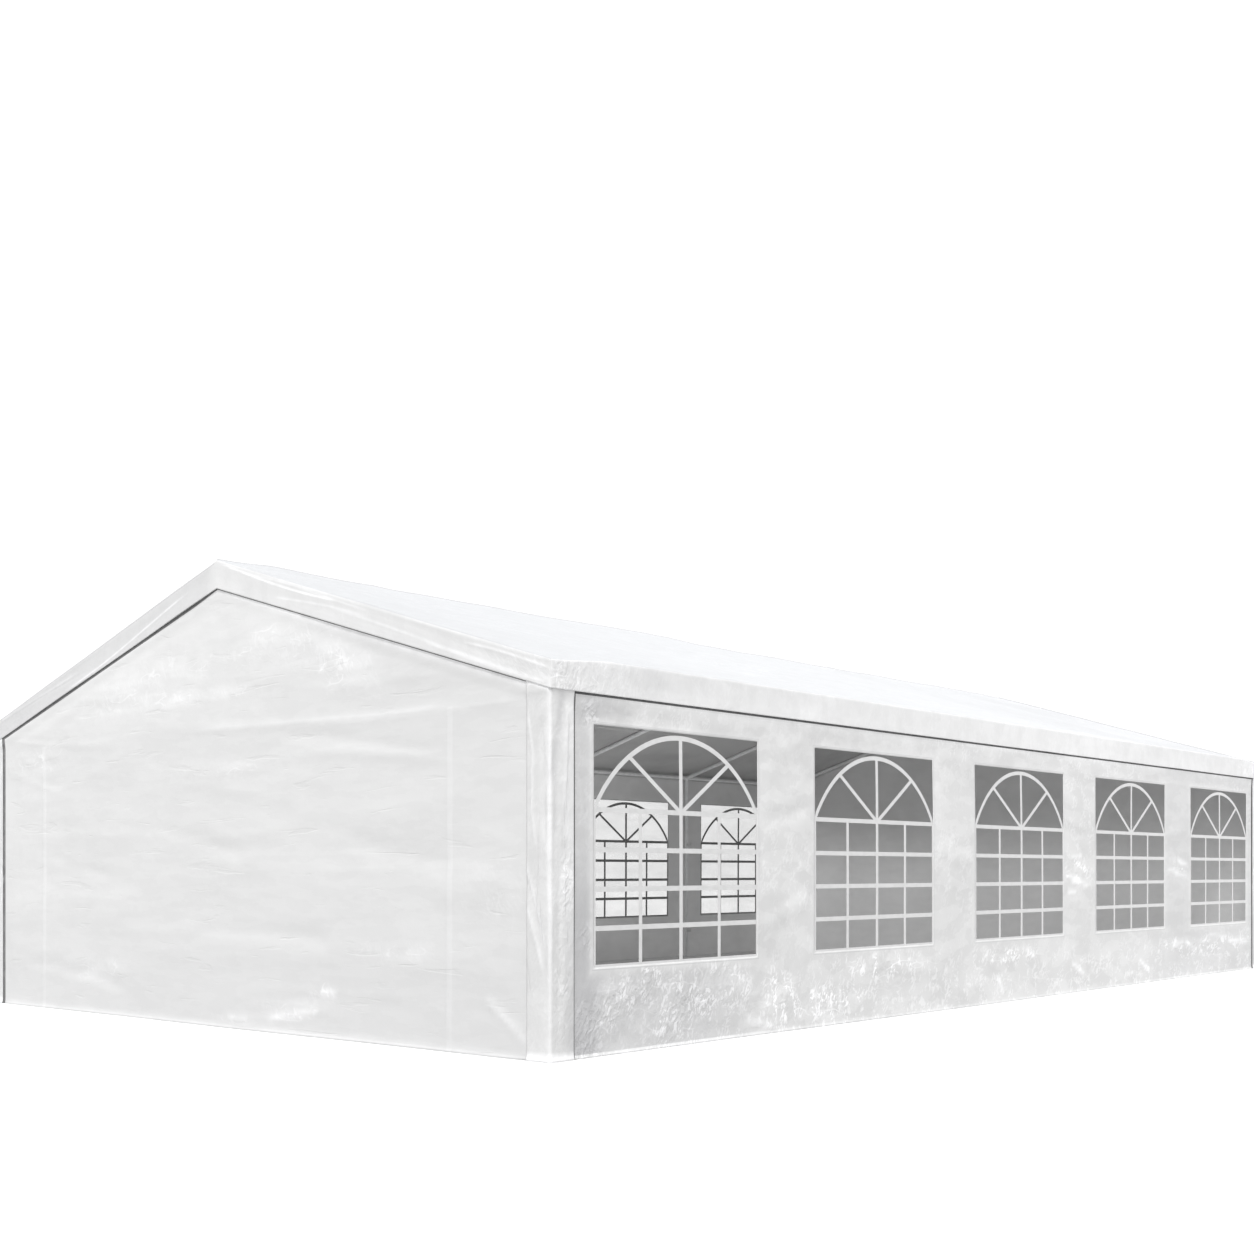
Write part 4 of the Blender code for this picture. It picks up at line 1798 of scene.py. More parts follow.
    def film_wave(self, x: Grid, z: Grid, window: Window) -> Grid:
        """How far the film stands out: the wall's belly and its own waves.

        Args:
            x: places along the wall.
            z: heights above the ground.
            window: the window's edges.

        Returns:
            Metres outwards.
        """
        low_x, high_x, low_z, high_z = window
        inside = np.minimum(np.minimum(x - low_x, high_x - x), np.minimum(z - low_z, high_z - z))
        return self.hang(x, z) + self.film_edge.at(inside) * self.film_waves.lift(x, z, self.seed)


@dataclass
class WindowBars:
    """The white strips of one window: an arch with three spokes over a grid of four by four panes.

    Fields: the window's edges; the widths of its strips; the heights of its springing line, arch and rows;
    the place of its outer columns and the slope of its spokes; how finely the strips are divided; how far
    they stand before the film, and their thickness.
    """

    window: Window
    bar: float = 0.0265
    border: float = 0.013
    middle_share: float = 1.08
    spoke_share: float = 0.92
    spring_z: float = 1.260
    arch_top_z: float = 1.678
    row_z: tuple[float, ...] = (1.055, 0.853, 0.653)
    column_offset: float = 0.342
    spoke_slope: float = math.radians(33.3)
    segment: float = 0.045
    arch_places: int = 41
    stand_off: float = 0.0007
    thickness: float = 0.0006

    def build(self, wall: WindowWall, number: int, finishes: Finishes) -> Piece:
        """Joins all the strips in one flat mesh, then lays it over the film.

        Args:
            wall: the wall that the window is in.
            number: the window's number, from 1.
            finishes: all the finishes.

        Returns:
            The strips, as one piece.
        """
        low_x, high_x, _, _ = self.window
        plane, faces = self._joined(self._strips((high_x - low_x) / 2))
        x, z = plane[:, 0] + (low_x + high_x) / 2, plane[:, 1]
        out = wall.face - wall.thickness + self.stand_off + wall.film_wave(x, z, self.window)
        if wall.side is Side.BACK:
            faces = [face[::-1] for face in faces]
        sheet = Sheet(rows_of(x, wall.side.value * out, z), faces, rows_of(x, z), smooth=False)
        name = f"window_bars_{wall.side.label}_{number}"
        piece = sheet.build(name, [finishes.strip], self.thickness, finishes.strip_back)
        return piece

    def _strips(self, half: float) -> list[Grid]:
        """All the strips of a window of the given half width, with its middle at 0.

        Args:
            half: half the window's width.

        Returns:
            The strips, each as pairs of edge points.
        """
        low_z, spring_z = self.window[2], self.spring_z
        foot, edge = low_z + self.border / 2, half - self.border / 2
        radius, centre_z = self._arch(half)
        strips = [self._strip((-half, z), (half, z), self.bar) for z in (spring_z, *self.row_z)]
        strips.append(self._strip((-half, foot), (half, foot), self.border))
        strips.append(self._strip((0.0, low_z), (0.0, centre_z + radius), self.bar * self.middle_share))
        reach = self._spoke_reach(radius, centre_z)
        tip_x, tip_z = reach * math.cos(self.spoke_slope), spring_z + reach * math.sin(self.spoke_slope)
        for sign in (-1, 1):
            column = sign * self.column_offset
            strips.append(self._strip((column, low_z), (column, spring_z), self.bar))
            strips.append(self._strip((0.0, spring_z), (sign * tip_x, tip_z), self.bar * self.spoke_share))
            top = (sign * edge, spring_z + self.bar / 2)
            strips.append(self._strip((sign * edge, low_z), top, self.border))
        strips.append(self._arch_strip(radius, centre_z, half))
        return strips

    def _arch(self, half: float) -> Point:
        """Radius and centre height of the arch's middle line.

        Args:
            half: half the window's width.

        Returns:
            The radius and the height.
        """
        rise = self.arch_top_z - self.bar / 2 - self.spring_z
        radius = (half**2 + rise**2) / (2 * rise)
        return radius, self.spring_z + rise - radius

    def _spoke_reach(self, radius: float, centre_z: float) -> float:
        """Length of a sloping spoke from the middle of the springing line to the arch.

        Args:
            radius: the arch's radius.
            centre_z: its centre's height.

        Returns:
            The length.
        """
        down = self.spring_z - centre_z
        half_chord = down * math.sin(self.spoke_slope)
        return math.sqrt(half_chord**2 + radius**2 - down**2) - half_chord

    def _strip(self, start: Point, end: Point, width: float) -> Grid:
        """A straight strip as pairs of edge points along its length.

        Args:
            start: one end.
            end: the other end.
            width: the strip's width.

        Returns:
            The pairs of points.
        """
        a, b = np.array(start), np.array(end)
        length = float(np.hypot(*(b - a)))
        along = (b - a) / length
        across = np.array([-along[1], along[0]]) * width / 2
        count = max(2, math.ceil(length / self.segment) + 1)
        line = a + np.linspace(0.0, length, count)[:, None] * along
        return np.stack([line - across, line + across], axis=1)

    def _arch_strip(self, radius: float, centre_z: float, half: float) -> Grid:
        """The arched strip, cut off at the window's edges.

        Args:
            radius: the arch's radius.
            centre_z: its centre's height.
            half: half the window's width.

        Returns:
            Pairs of edge points.
        """
        edge = math.asin(min(1.0, half / radius))
        angles = np.linspace(-edge, edge, self.arch_places)
        direction = np.stack([np.sin(angles), np.cos(angles)], axis=1)
        centre = np.array([0.0, centre_z])
        inner = centre + (radius - self.bar / 2) * direction
        outer = centre + (radius + self.bar / 2) * direction
        outer[:, 0] = np.clip(outer[:, 0], -half, half)
        return np.stack([inner, outer], axis=1)

    def _joined(self, strips: list[Grid]) -> tuple[Grid, Rows]:
        """One flat mesh of everything that the strips cover, with no face doubled.

        Args:
            strips: pairs of edge points for each strip.

        Returns:
            The flat points and the faces.
        """
        points: list[Vector] = []
        quads: Rows = []
        for strip in strips:
            start = len(points)
            points += [Vector(p) for pair in strip for p in pair]
            ends = range(start, start + 2 * len(strip) - 2, 2)
            quads += [(k, k + 2, k + 3, k + 1) for k in ends]
        joined, _, triangles, _, _, covered_by = delaunay_2d_cdt(points, [], quads, 1, TINY)
        plane = np.array([(p.x, p.y) for p in joined])
        faces = []
        for triangle, strips_here in zip(triangles, covered_by):
            if not strips_here:
                continue
            a, b, c = (plane[i] for i in triangle)
            turn = (b[0] - a[0]) * (c[1] - a[1]) - (b[1] - a[1]) * (c[0] - a[0])
            faces.append(tuple(triangle) if turn > 0 else tuple(reversed(triangle)))
        return plane, faces


@dataclass
class GableWall:
    """One plain end wall, with the two zips of its door flap.

    Fields: the tent's sizes, which end it is, its crumpled places, its long creases and its place in the
    noise; the spacing of its grid, its level and upper rows and its gap under the roof; its hem, and how it
    flares at the foot and is pushed out under the valance; its zips; the painted shadow lines under the near
    and the far half of the valance and beside the far corner cover; where relief is kept off; its crumpling
    and layers of noise; and its painted light and shade. Places across it are below 0 on its near half.
    """

    sizes: TentSizes
    end: End
    patches: tuple[Patch, ...]
    folds: tuple[FoldLine, ...]
    seed: float
    step: float = 0.0245
    thickness: float = 0.0012
    level_z: float = 1.79
    upper_rows: int = 34
    top_gap: float = 0.026
    hem: float = 0.022
    flare: float = 0.010
    flare_from: Fade = Fade(0.14, 0.22)
    push: Fade = Fade(-0.10, -0.02, 0.006)
    zip_inset: float = 0.72
    zip_top: float = 1.80
    zip_half: float = 0.017
    zip_edge: float = 0.006
    zip_rise: float = 0.0009
    binding: Point = (0.0065, 0.016)
    binding_change: Fade = Fade(0.0, 0.25)
    binding_hidden: float = 0.004
    end_binding: float = 0.030
    off_edges: Fade = Fade(0.16, 0.35)
    off_valance: Fade = Fade(0.02, 0.16)
    crumpling: Crumpling = Crumpling(
        0.02,
        Fade(-1.0, 0.0, 0.0),
        Layer(0.06, 0.9, 1.6, 5.0, Form.CLOUDS),
        Layer(0.5, 4.0, 7.0, 3.0),
    )
    crumple_seen: float = 0.8
    belly: Layer = Layer(0.012, 0.45, 0.9, 0.0, Form.BELLY)
    waves: Layer = Layer(0.0030, 0.7, 3.6, 9.0)
    ridges: Layer = Layer(0.0020, 0.5, 3.0, 13.0, Form.RIDGES, sharp=3.0)
    ripples: Layer = Layer(0.0010, 2.0, 11.0, 19.0)
    broken: Layer = Layer(1.0, 0.7, 1.0, 21.0)
    broken_from: Fade = Fade(-0.2, 0.4)
    crushed: Layer = Layer(0.0030, 3.0, 9.0, 27.0, Form.FACETS)
    crushed_from: Fade = Fade(0.1, 0.3)
    crushed_low: Fade = Fade(-1.2, -0.9)
    zip_white: float = 0.12
    hem_white: float = 0.10
    foot_dark: Fade = Fade(-0.9, -0.2, 0.12)
    lit_under_valance: float = 0.3
    sheltered_gain: Fade = Fade(0.0, 1.2, 0.8)
    sheltered_depth: float = 0.0135
    sheltered_reach: float = 0.013

    def build(self, finishes: Finishes) -> list[Piece]:
        """Makes the wall; its rows are level up to the eave and close up towards the ridge.

        Args:
            finishes: all the finishes.

        Returns:
            The new pieces.
        """
        s = self.sizes
        half = s.gable_half_width
        zips = half - self.zip_inset
        cover_edge = s.gable_cover_edge
        inner, outer = self.zip_half, self.zip_half + self.zip_edge
        stops = [-half, -cover_edge, -cover_edge + self.end_binding]
        stops += [-zips - outer, -zips - inner, -zips + inner, -zips + outer, 0.0]
        ys = spaced(stops, self.step)
        ys = np.concatenate([ys, -ys[::-1][1:]])
        gz, band_row = self._rows(ys)
        gy = np.broadcast_to(ys, gz.shape)
        relief = self._relief(gy, gz, zips)
        x = self.end.value * (s.gable_half_length - CLOTH_INSET + relief.height)
        rows, columns = gz.shape
        faces = grid_faces(columns, rows, self.end is End.LEFT)
        # The painted shadow lines: the row under the valance and the column beside the far corner cover
        middle = (ys[:-1] + ys[1:]) / 2 * -self.end.value
        far_edge = (cover_edge - self.end_binding < middle) & (middle < cover_edge)
        zones = [int(j == band_row or far_edge[i]) for j in range(rows - 1) for i in range(columns - 1)]
        sheet = Sheet(rows_of(x, gy, gz), faces, rows_of(gy + 2 * self.seed, gz), relief.marks(), zones)
        cloths = [finishes.gable, finishes.gable_binding]
        name = f"gable_sheet_{self.end.label}"
        piece = sheet.build(name, cloths, self.thickness, finishes.gable_inside)
        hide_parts(f"gable_wall_{self.end.label}")
        return [piece]

    def _rows(self, ys: Grid) -> tuple[Grid, int]:
        """The height of every grid point, and the number of the row of faces painted as a shadow line.

        Args:
            ys: the grid lines across the tent.

        Returns:
            The heights and the row's number.
        """
        s = self.sizes
        lower = spaced([0.0, self.hem / 2, self.hem, self.level_z], self.step)
        near, far = self.binding
        columns = []
        for y in ys:
            line, top = float(s.valance_line(y)), float(s.roof_z(y)) - self.top_gap
            band = (far if y * -self.end.value > 0 else near) - near
            band = near + band * float(self.binding_change.at(np.array(abs(y))))
            upper = np.linspace(self.level_z, line - band, self.upper_rows - 3)[1:]
            hidden = np.linspace(line + self.binding_hidden, top, 4)
            columns.append(np.concatenate([lower, upper, hidden]))
        gz = np.stack(columns, axis=1)
        return gz, gz.shape[0] - 5

    def _relief(self, y: Grid, z: Grid, zips: float) -> Relief:
        """Level waves and thin creases, crumpled patches, long creases and the two raised zips.

        Args:
            y: places across the tent.
            z: heights above the ground.
            zips: distance of the zips from the middle.

        Returns:
            The relief.
        """
        s, seed = self.sizes, self.seed
        relief = Relief.flat(y)
        own, edge, below = y * -self.end.value, s.gable_half_width - np.abs(y), s.valance_line(y) - z
        crumple = self.crumpling.at(self.patches, y, z, own, seed)
        relief.add_folds(self.folds, own, z)
        broken = self.broken_from.at(self.broken.lift(y, z, seed))
        crushed = crumple * self.crushed_from.at(crumple) * self.crushed_low.at(-z)
        relief.height += self.belly.lift(y, z, seed) + self.waves.lift(y, z, seed)
        relief.height += self.ridges.lift(y, z, seed) + self.ripples.lift(y, z, seed) * broken
        relief.height += crushed * self.crushed.lift(y, z, seed)
        relief.height *= self.off_edges.at(edge) * self.off_valance.at(below)
        on_zip = (np.abs(np.abs(y) - zips) < self.zip_half * PAST_LINE) & (z < self.zip_top)
        relief.height += self.push.at(-below) + self.zip_rise * on_zip
        relief.height += self.flare * flared(z) * self.flare_from.at(edge)
        relief.crumple = self.crumple_seen * crumple
        # Painted shade darkening towards the foot; paler zips, and the hem painted paler as painted light
        relief.seam += self.foot_dark.at(-z)
        relief.white += self.zip_white * on_zip + self.hem_white * (z < self.hem * PAST_LINE)
        # Painted light just under the valance, offsetting its shadow
        fading = np.exp(-(below - self.sheltered_depth) / self.sheltered_reach)
        lit_under_valance = fading * (self.lit_under_valance + self.sheltered_gain.at(-own))
        relief.white += np.minimum(lit_under_valance, 1.0) * (below > self.binding_hidden)
        return relief


@dataclass
class CornerCover:
    """The upright strip folded round one corner of the tent.

    Fields: the tent's sizes, which side and end it is at; its place in the noise, and how that changes with
    the side and the end; how far it stands off its solid, the round of its bend, how it is pushed out at the
    top, trimmed and drawn in; its hem and flare; the spacing of its rows and columns; where relief is kept
    off; its layers of noise and crumpled places; its painted light and shade; and its folds, with painted
    highlights on their ridges and painted shade along the dark ones. Places along its width have the bend at
    0 and the gable below 0.
    """

    sizes: TentSizes
    side: Side
    end: End
    seed: float = 50.0
    seed_by_side: float = 7.0
    seed_by_end: float = 3.0
    stand_off: float = 0.0035
    radius: float = 0.010
    top_push: float = 0.0045
    top_push_depth: float = 0.05
    trim: float = 0.014
    draw_in: float = 0.0024
    draw_in_width: float = 0.035
    thickness: float = 0.0012
    hem: float = 0.024
    flare: float = 0.008
    row_step: float = 0.028
    edge_step: float = 0.0075
    edge_rows: Point = (0.030, 0.045)
    column_step: float = 0.0075
    edge_width: float = 0.02
    bend_width: float = 0.05
    off_edges: Fade = Fade(0.0, 0.05)
    off_valance: Fade = Fade(-0.01, 0.16)
    ripples: Layer = Layer(0.0022, 8.0, 2.2, 5.0)
    ridges: Layer = Layer(0.0018, 8.0, 1.8, 9.0, Form.RIDGES)
    crumple: float = 0.08
    patches: tuple[Patch, ...] = (Patch(0.13, 0.88, 0.05, 0.16, 0.5), Patch(0.09, 0.35, 0.06, 0.25, 0.2))
    lit: float = 0.30
    lit_high: Fade = Fade(0.3, 1.1, 0.45)
    lit_even: float = 0.75
    lit_clouds: Layer = Layer(0.35, 0.0, 3.0, 21.0)
    lit_reach: float = 0.026
    lit_to: float = 0.002
    hem_white: float = 0.7
    lit_under_valance: float = 0.85
    sheltered_reach: float = 0.008
    long_from: float = 0.004
    long_white: float = 0.17
    long_white_gain: Fade = Fade(0.06, 0.10, 0.10)
    long_white_high: Fade = Fade(0.3, 0.8)
    long_dark: Fade = Fade(0.06, 0.17, 0.42)
    long_dark_low: Fade = Fade(-1.0, -0.3)
    folds: tuple[FoldLine, ...] = each(
        FoldLine,
        (-0.01, 1.86, -0.01, 1.35, 0.012, 0.003), (-0.012, 1.38, -0.018, 0.95, 0.018, 0.005),
        (-0.016, 0.98, -0.008, 0.4, 0.013, 0.004),
        (-0.14, 1.72, -0.112, 1.46, 0.007, 0.0035, 0.4),
        (-0.116, 1.48, -0.126, 1.26, 0.007, 0.0035, 0.3),
        (-0.124, 1.28, -0.098, 1.06, 0.007, 0.0035, 0.3),
        (-0.158, 1.0, -0.04, 0.56, 0.009, 0.004, 0.5), (-0.15, 0.92, -0.03, 0.52, 0.016, -0.006),
        (-0.152, 0.78, -0.05, 0.44, 0.01, 0.004, 0.3), (-0.06, 1.7, -0.05, 1.1, 0.018, -0.005),
        (-0.095, 0.74, -0.03, 0.4, 0.02, -0.004, -0.1),
        (0.072, 1.92, 0.014, 1.38, 0.026, -0.0025, -0.34),
        (0.105, 1.92, 0.06, 1.62, 0.022, -0.0015, -0.1),
        (0.026, 1.46, 0.034, 1.12, 0.012, -0.0025, -0.2),
        (0.1, 1.82, 0.098, 1.2, 0.014, 0.005, 0.1), (0.04, 0.9, 0.06, 0.2, 0.022, -0.004),
    )

    def build(self, finishes: Finishes) -> list[Piece]:
        """Makes the strip, from its free edge on the gable round the corner to the one on the long wall.

        Args:
            finishes: all the finishes.

        Returns:
            The new pieces.
        """
        node = f"corner_cover_{self.side.label}_{self.end.label}"
        low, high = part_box(node)
        seed = self.seed + self.seed_by_side * self.side.value + self.seed_by_end * self.end.value
        long_leg, gable_leg = self.sizes.cover_long_leg - self.trim, self.sizes.cover_gable_leg
        outer_x = self.end.value * max(abs(low[0]), abs(high[0]))
        outer_y = self.side.value * max(abs(low[1]), abs(high[1]))
        edge, bend = self.edge_width, self.bend_width
        stops = [-gable_leg, -gable_leg + edge, -bend, bend, long_leg - edge, long_leg]
        path = spaced(stops, self.column_step)
        below, above = self.sizes.valance_z - self.edge_rows[0], self.sizes.valance_z + self.edge_rows[1]
        zs = np.concatenate([
            spaced([0.0, self.hem / 2, self.hem, below], self.row_step)[:-1],
            spaced([below, above], self.edge_step)[:-1],
            spaced([above, high[2]], self.row_step),
        ])
        along, z = np.meshgrid(path, zs)
        relief = self._relief(along, z, seed)
        dx, dy, out_x, out_y = self._fold(along)
        out = relief.height + self.stand_off
        x = outer_x + self.end.value * (dx + out_x * out)
        y = outer_y + self.side.value * (dy + out_y * out)
        faces = grid_faces(len(path), len(zs), self.side.value * self.end.value < 0)
        sheet = Sheet(rows_of(x, y, z), faces, rows_of(along + seed, z), relief.marks())
        name = f"corner_strip_{self.side.label}_{self.end.label}"
        piece = sheet.build(name, [finishes.corner], self.thickness, finishes.inside)
        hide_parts(node)
        return [piece]

    def _fold(self, along: Grid) -> tuple[Grid, Grid, Grid, Grid]:
        """Offsets from the outer corner and outward directions, for places along the strip's width.

        Args:
            along: distance from the corner, negative on the gable and positive on the long wall.

        Returns:
            Offsets along x and along y, then directions along x and along y, positive outwards.
        """
        r = self.radius
        arc = r * math.pi / 2
        on_arc = np.clip(along, -arc / 2, arc / 2)
        angle = (on_arc / arc + 0.5) * math.pi / 2
        out_x, out_y = np.cos(angle), np.sin(angle)
        beyond = along - on_arc
        dx = -r + r * out_x - np.maximum(beyond, 0.0)
        dy = -r + r * out_y + np.minimum(beyond, 0.0)
        return dx, dy, out_x, out_y

    def _relief(self, along: Grid, z: Grid, seed: float) -> Relief:
        """A raised ridge on the fold, a soft valley beside it, and upright creases.

        Args:
            along: places along the strip's width.
            z: heights above the ground.
            seed: its place in the noise.

        Returns:
            The relief.
        """
        s = self.sizes
        relief = Relief.flat(along)
        free = self.off_edges.at(np.minimum(along + s.cover_gable_leg, s.cover_long_leg - along))
        relief.add_folds(self.folds, along, z)
        relief.height += (self.ripples.lift(along, z, seed) + self.ridges.lift(along, z, seed)) * free
        relief.height *= self.off_valance.at(s.valance_z - z)
        drawn_in = smooth_step(-along, s.cover_gable_leg - self.draw_in_width, s.cover_gable_leg)
        relief.height += self.flare * flared(z) - self.draw_in * drawn_in
        relief.height += self.top_push * smooth_step(z, s.valance_z - self.top_push_depth, s.valance_z)
        relief.crumple = self.crumple + sum(patch.weight(along, z) for patch in self.patches)
        in_hem = z < self.hem * PAST_LINE
        on_gable = np.minimum(along, 0.0)
        # Painted highlight along the bend, and painted light on the hem, just under the valance and on the
        # long leg; painted shade low on the long leg
        lit = self.lit + self.lit_high.at(z) * (self.lit_even + self.lit_clouds.lift(along, z, seed))
        below = s.valance_line(s.roof_half_width + on_gable) - z
        lit_under_valance = self.lit_under_valance * np.exp(-np.maximum(below, 0.0) / self.sheltered_reach)
        relief.white += lit_under_valance * (along < 0.0) + self.hem_white * in_hem
        relief.white += lit * (along < self.lit_to) * np.exp(on_gable / self.lit_reach)
        on_long = self.long_white + self.long_white_gain.at(along)
        relief.white += on_long * (along > self.long_from) * self.long_white_high.at(z)
        relief.seam += self.long_dark.at(along) * self.long_dark_low.at(-z) * ~in_hem
        return relief


@dataclass
class TubeFrame:
    """The steel frame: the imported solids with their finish, and the ties that hold the walls to the posts.

    Fields: the tent's sizes, then the ties' heights, width, inner radius, thickness, sides, knots and soft
    edges.
    """

    sizes: TentSizes
    tie_heights: tuple[float, ...] = (0.29, 1.24)
    tie_width: float = 0.026
    tie_radius: float = 0.0192
    tie_thickness: float = 0.0018
    tie_sides: int = 20
    knot: float = 0.016
    knot_wider: float = 0.3
    knot_power: int = 12
    soft_edge: float = 0.0006

    def build(self, finishes: Finishes) -> list[Piece]:
        """Dresses the tubes and adds the ties of both sides.

        Args:
            finishes: all the finishes.

        Returns:
            The dressed tubes and the ties.
        """
        dressed = []
        for name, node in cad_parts.items():
            if name.startswith(("post_", "rafter_", "ridge_", "eave_")):
                node.data.materials.clear()
                node.data.materials.append(finishes.tube)
                dressed.append(node)
        return dressed + [self._ties(side, finishes) for side in Side]

    def _ties(self, side: Side, finishes: Finishes) -> Piece:
        """All the ties of one side: a band round the post with a small knot on the inside.

        Args:
            side: the long side.
            finishes: all the finishes.

        Returns:
            The ties, as one piece.
        """
        points: list[Place] = []
        faces: Rows = []
        for i in range(1, self.sizes.bays + 2):
            low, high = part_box(f"post_{side.label}_{i}")
            x, y = (low[0] + high[0]) / 2, (low[1] + high[1]) / 2
            for z in self.tie_heights:
                self._band(points, faces, (x, y, z), side)
        mesh = bpy.data.meshes.new(f"wall_ties_{side.label}")
        mesh.from_pydata(points, [], faces)
        mesh.shade_smooth()
        mesh.materials.append(finishes.tie)
        piece = bpy.data.objects.new(mesh.name, mesh)
        bpy.context.scene.collection.objects.link(piece)
        soft = piece.modifiers.new("soft_edges", "BEVEL")
        soft.width = self.soft_edge
        soft.segments = 2
        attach(piece, BODY)
        return piece

    def _band(self, points: list[Place], faces: Rows, centre: Place, side: Side) -> None:
        """Adds one band: its wall bulges to a knot where it faces into the tent.

        Args:
            points: the points so far, added to.
            faces: the faces so far, added to.
            centre: the band's middle.
            side: the long side.
        """
        start, n = len(points), self.tie_sides
        for k in range(n):
            turn = 2 * math.pi * k / n
            inwards = max(0.0, -side.value * math.sin(turn)) ** self.knot_power
            for out, dz in ((0.0, -1), (1.0, -1), (1.0, 1), (0.0, 1)):
                radius = self.tie_radius + out * (self.tie_thickness + self.knot * inwards)
                height = self.tie_width / 2 * (1.0 + self.knot_wider * inwards * out)
                points.append((
                    centre[0] + radius * math.cos(turn),
                    centre[1] + radius * math.sin(turn),
                    centre[2] + dz * height,
                ))
        for k in range(n):
            a, b = start + 4 * k, start + 4 * ((k + 1) % n)
            for i in range(4):
                j = (i + 1) % 4
                faces.append((a + i, b + i, b + j, a + j))


# Studio


@dataclass(frozen=True)
class SoftLamp:
    """A round soft lamp that the camera doesn't see: its name, place, target, size and power."""

    name: str
    place: Place
    target: Place
    size: float
    power: float

    def build(self) -> None:
        """Makes the lamp."""
        lamp = bpy.data.lights.new(self.name, "AREA")
        lamp.shape = "DISK"
        lamp.size = self.size
        lamp.energy = self.power
        holder = bpy.data.objects.new(self.name, lamp)
        holder.location = self.place
        heading = Vector(self.target) - Vector(self.place)
        holder.rotation_euler = heading.to_track_quat("-Z", "Y").to_euler()
        holder.visible_camera = False
        bpy.context.scene.collection.objects.link(holder)


@dataclass(frozen=True)
class Studio:
    """The camera at the photograph's viewing angle, the pale floor and the soft light.

    Fields: the camera's place, heading, lens, upward shift and farthest view; half the floor's width; the
    sun's direction, strength and angle; how bright the sky is as light and to the eye; how bright the floor
    looks, how much it throws back and how rough it is; and the lamps.
    """

    camera_place: Place = (-10.636, -8.094, 0.946)
    heading: Place = (0.7585, 0.6517, 0.0)
    lens: float = 45.0
    shift_up: float = 0.1946
    farthest: float = 500.0
    floor_half: float = 60.0
    sun_direction: Place = (-0.45, -0.28, 0.85)
    sun_strength: float = 3.3
    sun_angle: float = math.radians(22)
    sky_strength: float = 0.50
    sky_seen: float = 1.1
    floor_seen: float = 0.88
    floor_bounce: float = 0.55
    floor_roughness: float = 0.9
    lamps: tuple[SoftLamp, ...] = (
        SoftLamp("front_lamp", (6.5, -12.5, 5.6), (-1.5, -2.8, 0.8), 1.4, 380.0),
        SoftLamp("gable_lamp", (-11.5, 9.0, 4.2), (-5.0, 0.0, 1.4), 1.6, 135.0),
        SoftLamp("inner_lamp", (0.0, 0.0, 0.05), (0.0, 0.0, 3.0), 5.0, 45.0),
    )

    def build(self) -> None:
        """Makes the camera, the floor, the sky and the lamps."""
        self._camera()
        self._floor()
        self._sky()
        self._sun()
        for lamp in self.lamps:
            lamp.build()
        bpy.context.scene.view_settings.view_transform = "Standard"

    def _camera(self) -> None:
        """A level camera whose frame is shifted up, as the photograph's is."""
        camera = bpy.data.cameras.new("camera")
        camera.lens = self.lens
        camera.shift_y = self.shift_up
        camera.clip_end = self.farthest
        holder = bpy.data.objects.new("camera", camera)
        holder.location = self.camera_place
        holder.rotation_euler = Vector(self.heading).to_track_quat("-Z", "Y").to_euler()
        bpy.context.scene.collection.objects.link(holder)
        bpy.context.scene.camera = holder

    def _floor(self) -> None:
        """A wide pale floor at ground level."""
        h = self.floor_half
        mesh = bpy.data.meshes.new("floor")
        mesh.from_pydata([(-h, -h, 0), (h, -h, 0), (h, h, 0), (-h, h, 0)], [], [(0, 1, 2, 3)])
        floor = bpy.data.objects.new("floor", mesh)
        bpy.context.scene.collection.objects.link(floor)
        material, nodes, shader = new_material("pale_floor")
        seen = nodes.add("LightPath").outputs["Is Camera Ray"]
        nodes.feed(nodes.range(seen, self.floor_bounce, self.floor_seen), shader["Base Color"])
        shader["Roughness"].default_value = self.floor_roughness
        mesh.materials.append(material)

    def _sky(self) -> None:
        """Even pale light from all round; the camera itself sees plain white."""
        world = bpy.data.worlds.new("studio")
        world.use_nodes = True
        bpy.context.scene.world = world
        nodes = Nodes(world.node_tree)
        background = world.node_tree.nodes["Background"]
        background.inputs["Color"].default_value = (1.0, 1.0, 1.0, 1.0)
        seen = nodes.add("LightPath").outputs["Is Camera Ray"]
        nodes.feed(nodes.range(seen, self.sky_strength, self.sky_seen), background.inputs["Strength"])

    def _sun(self) -> None:
        """One broad soft lamp, high over the left front corner."""
        lamp = bpy.data.lights.new("high_soft_lamp", "SUN")
        lamp.energy = self.sun_strength
        lamp.angle = self.sun_angle
        holder = bpy.data.objects.new("high_soft_lamp", lamp)
        holder.rotation_euler = Vector(self.sun_direction).to_track_quat("Z", "Y").to_euler()
        bpy.context.scene.collection.objects.link(holder)


# Where the walls are crumpled and creased, in metres along or across the tent and up from the ground

FRONT_PATCHES = each(
    Patch,
    (-4.78, 0.13, 0.12, 0.13, 1.0), (-4.52, 0.27, 0.34, 0.08, 1.0, 20),
    (-4.3, 0.35, 0.11, 0.07, 1.0), (-4.14, 0.15, 0.1, 0.13, 1.0), (-3.99, 0.23, 0.07, 0.15, 1.0),
    (-3.84, 0.23, 0.11, 0.1, 1.0), (-3.69, 0.4, 0.16, 0.05, 0.8), (-3.54, 0.28, 0.12, 0.08, 0.7),
    (-3.04, 0.19, 0.16, 0.08, 0.9, -55), (-2.55, 0.14, 0.25, 0.08, 0.7),
    (-4.78, 0.6, 0.05, 0.07, 0.9), (-4.76, 1.76, 0.09, 0.06, 0.9), (-1.9, 0.34, 0.45, 0.06, 0.5),
    (-0.3, 0.34, 0.4, 0.05, 0.4), (0.95, 0.94, 0.16, 0.07, 0.9), (3.05, 0.97, 0.12, 0.07, 1.0),
    (3.25, 0.28, 0.5, 0.06, 0.8), (4.2, 0.28, 0.35, 0.06, 0.7),
)
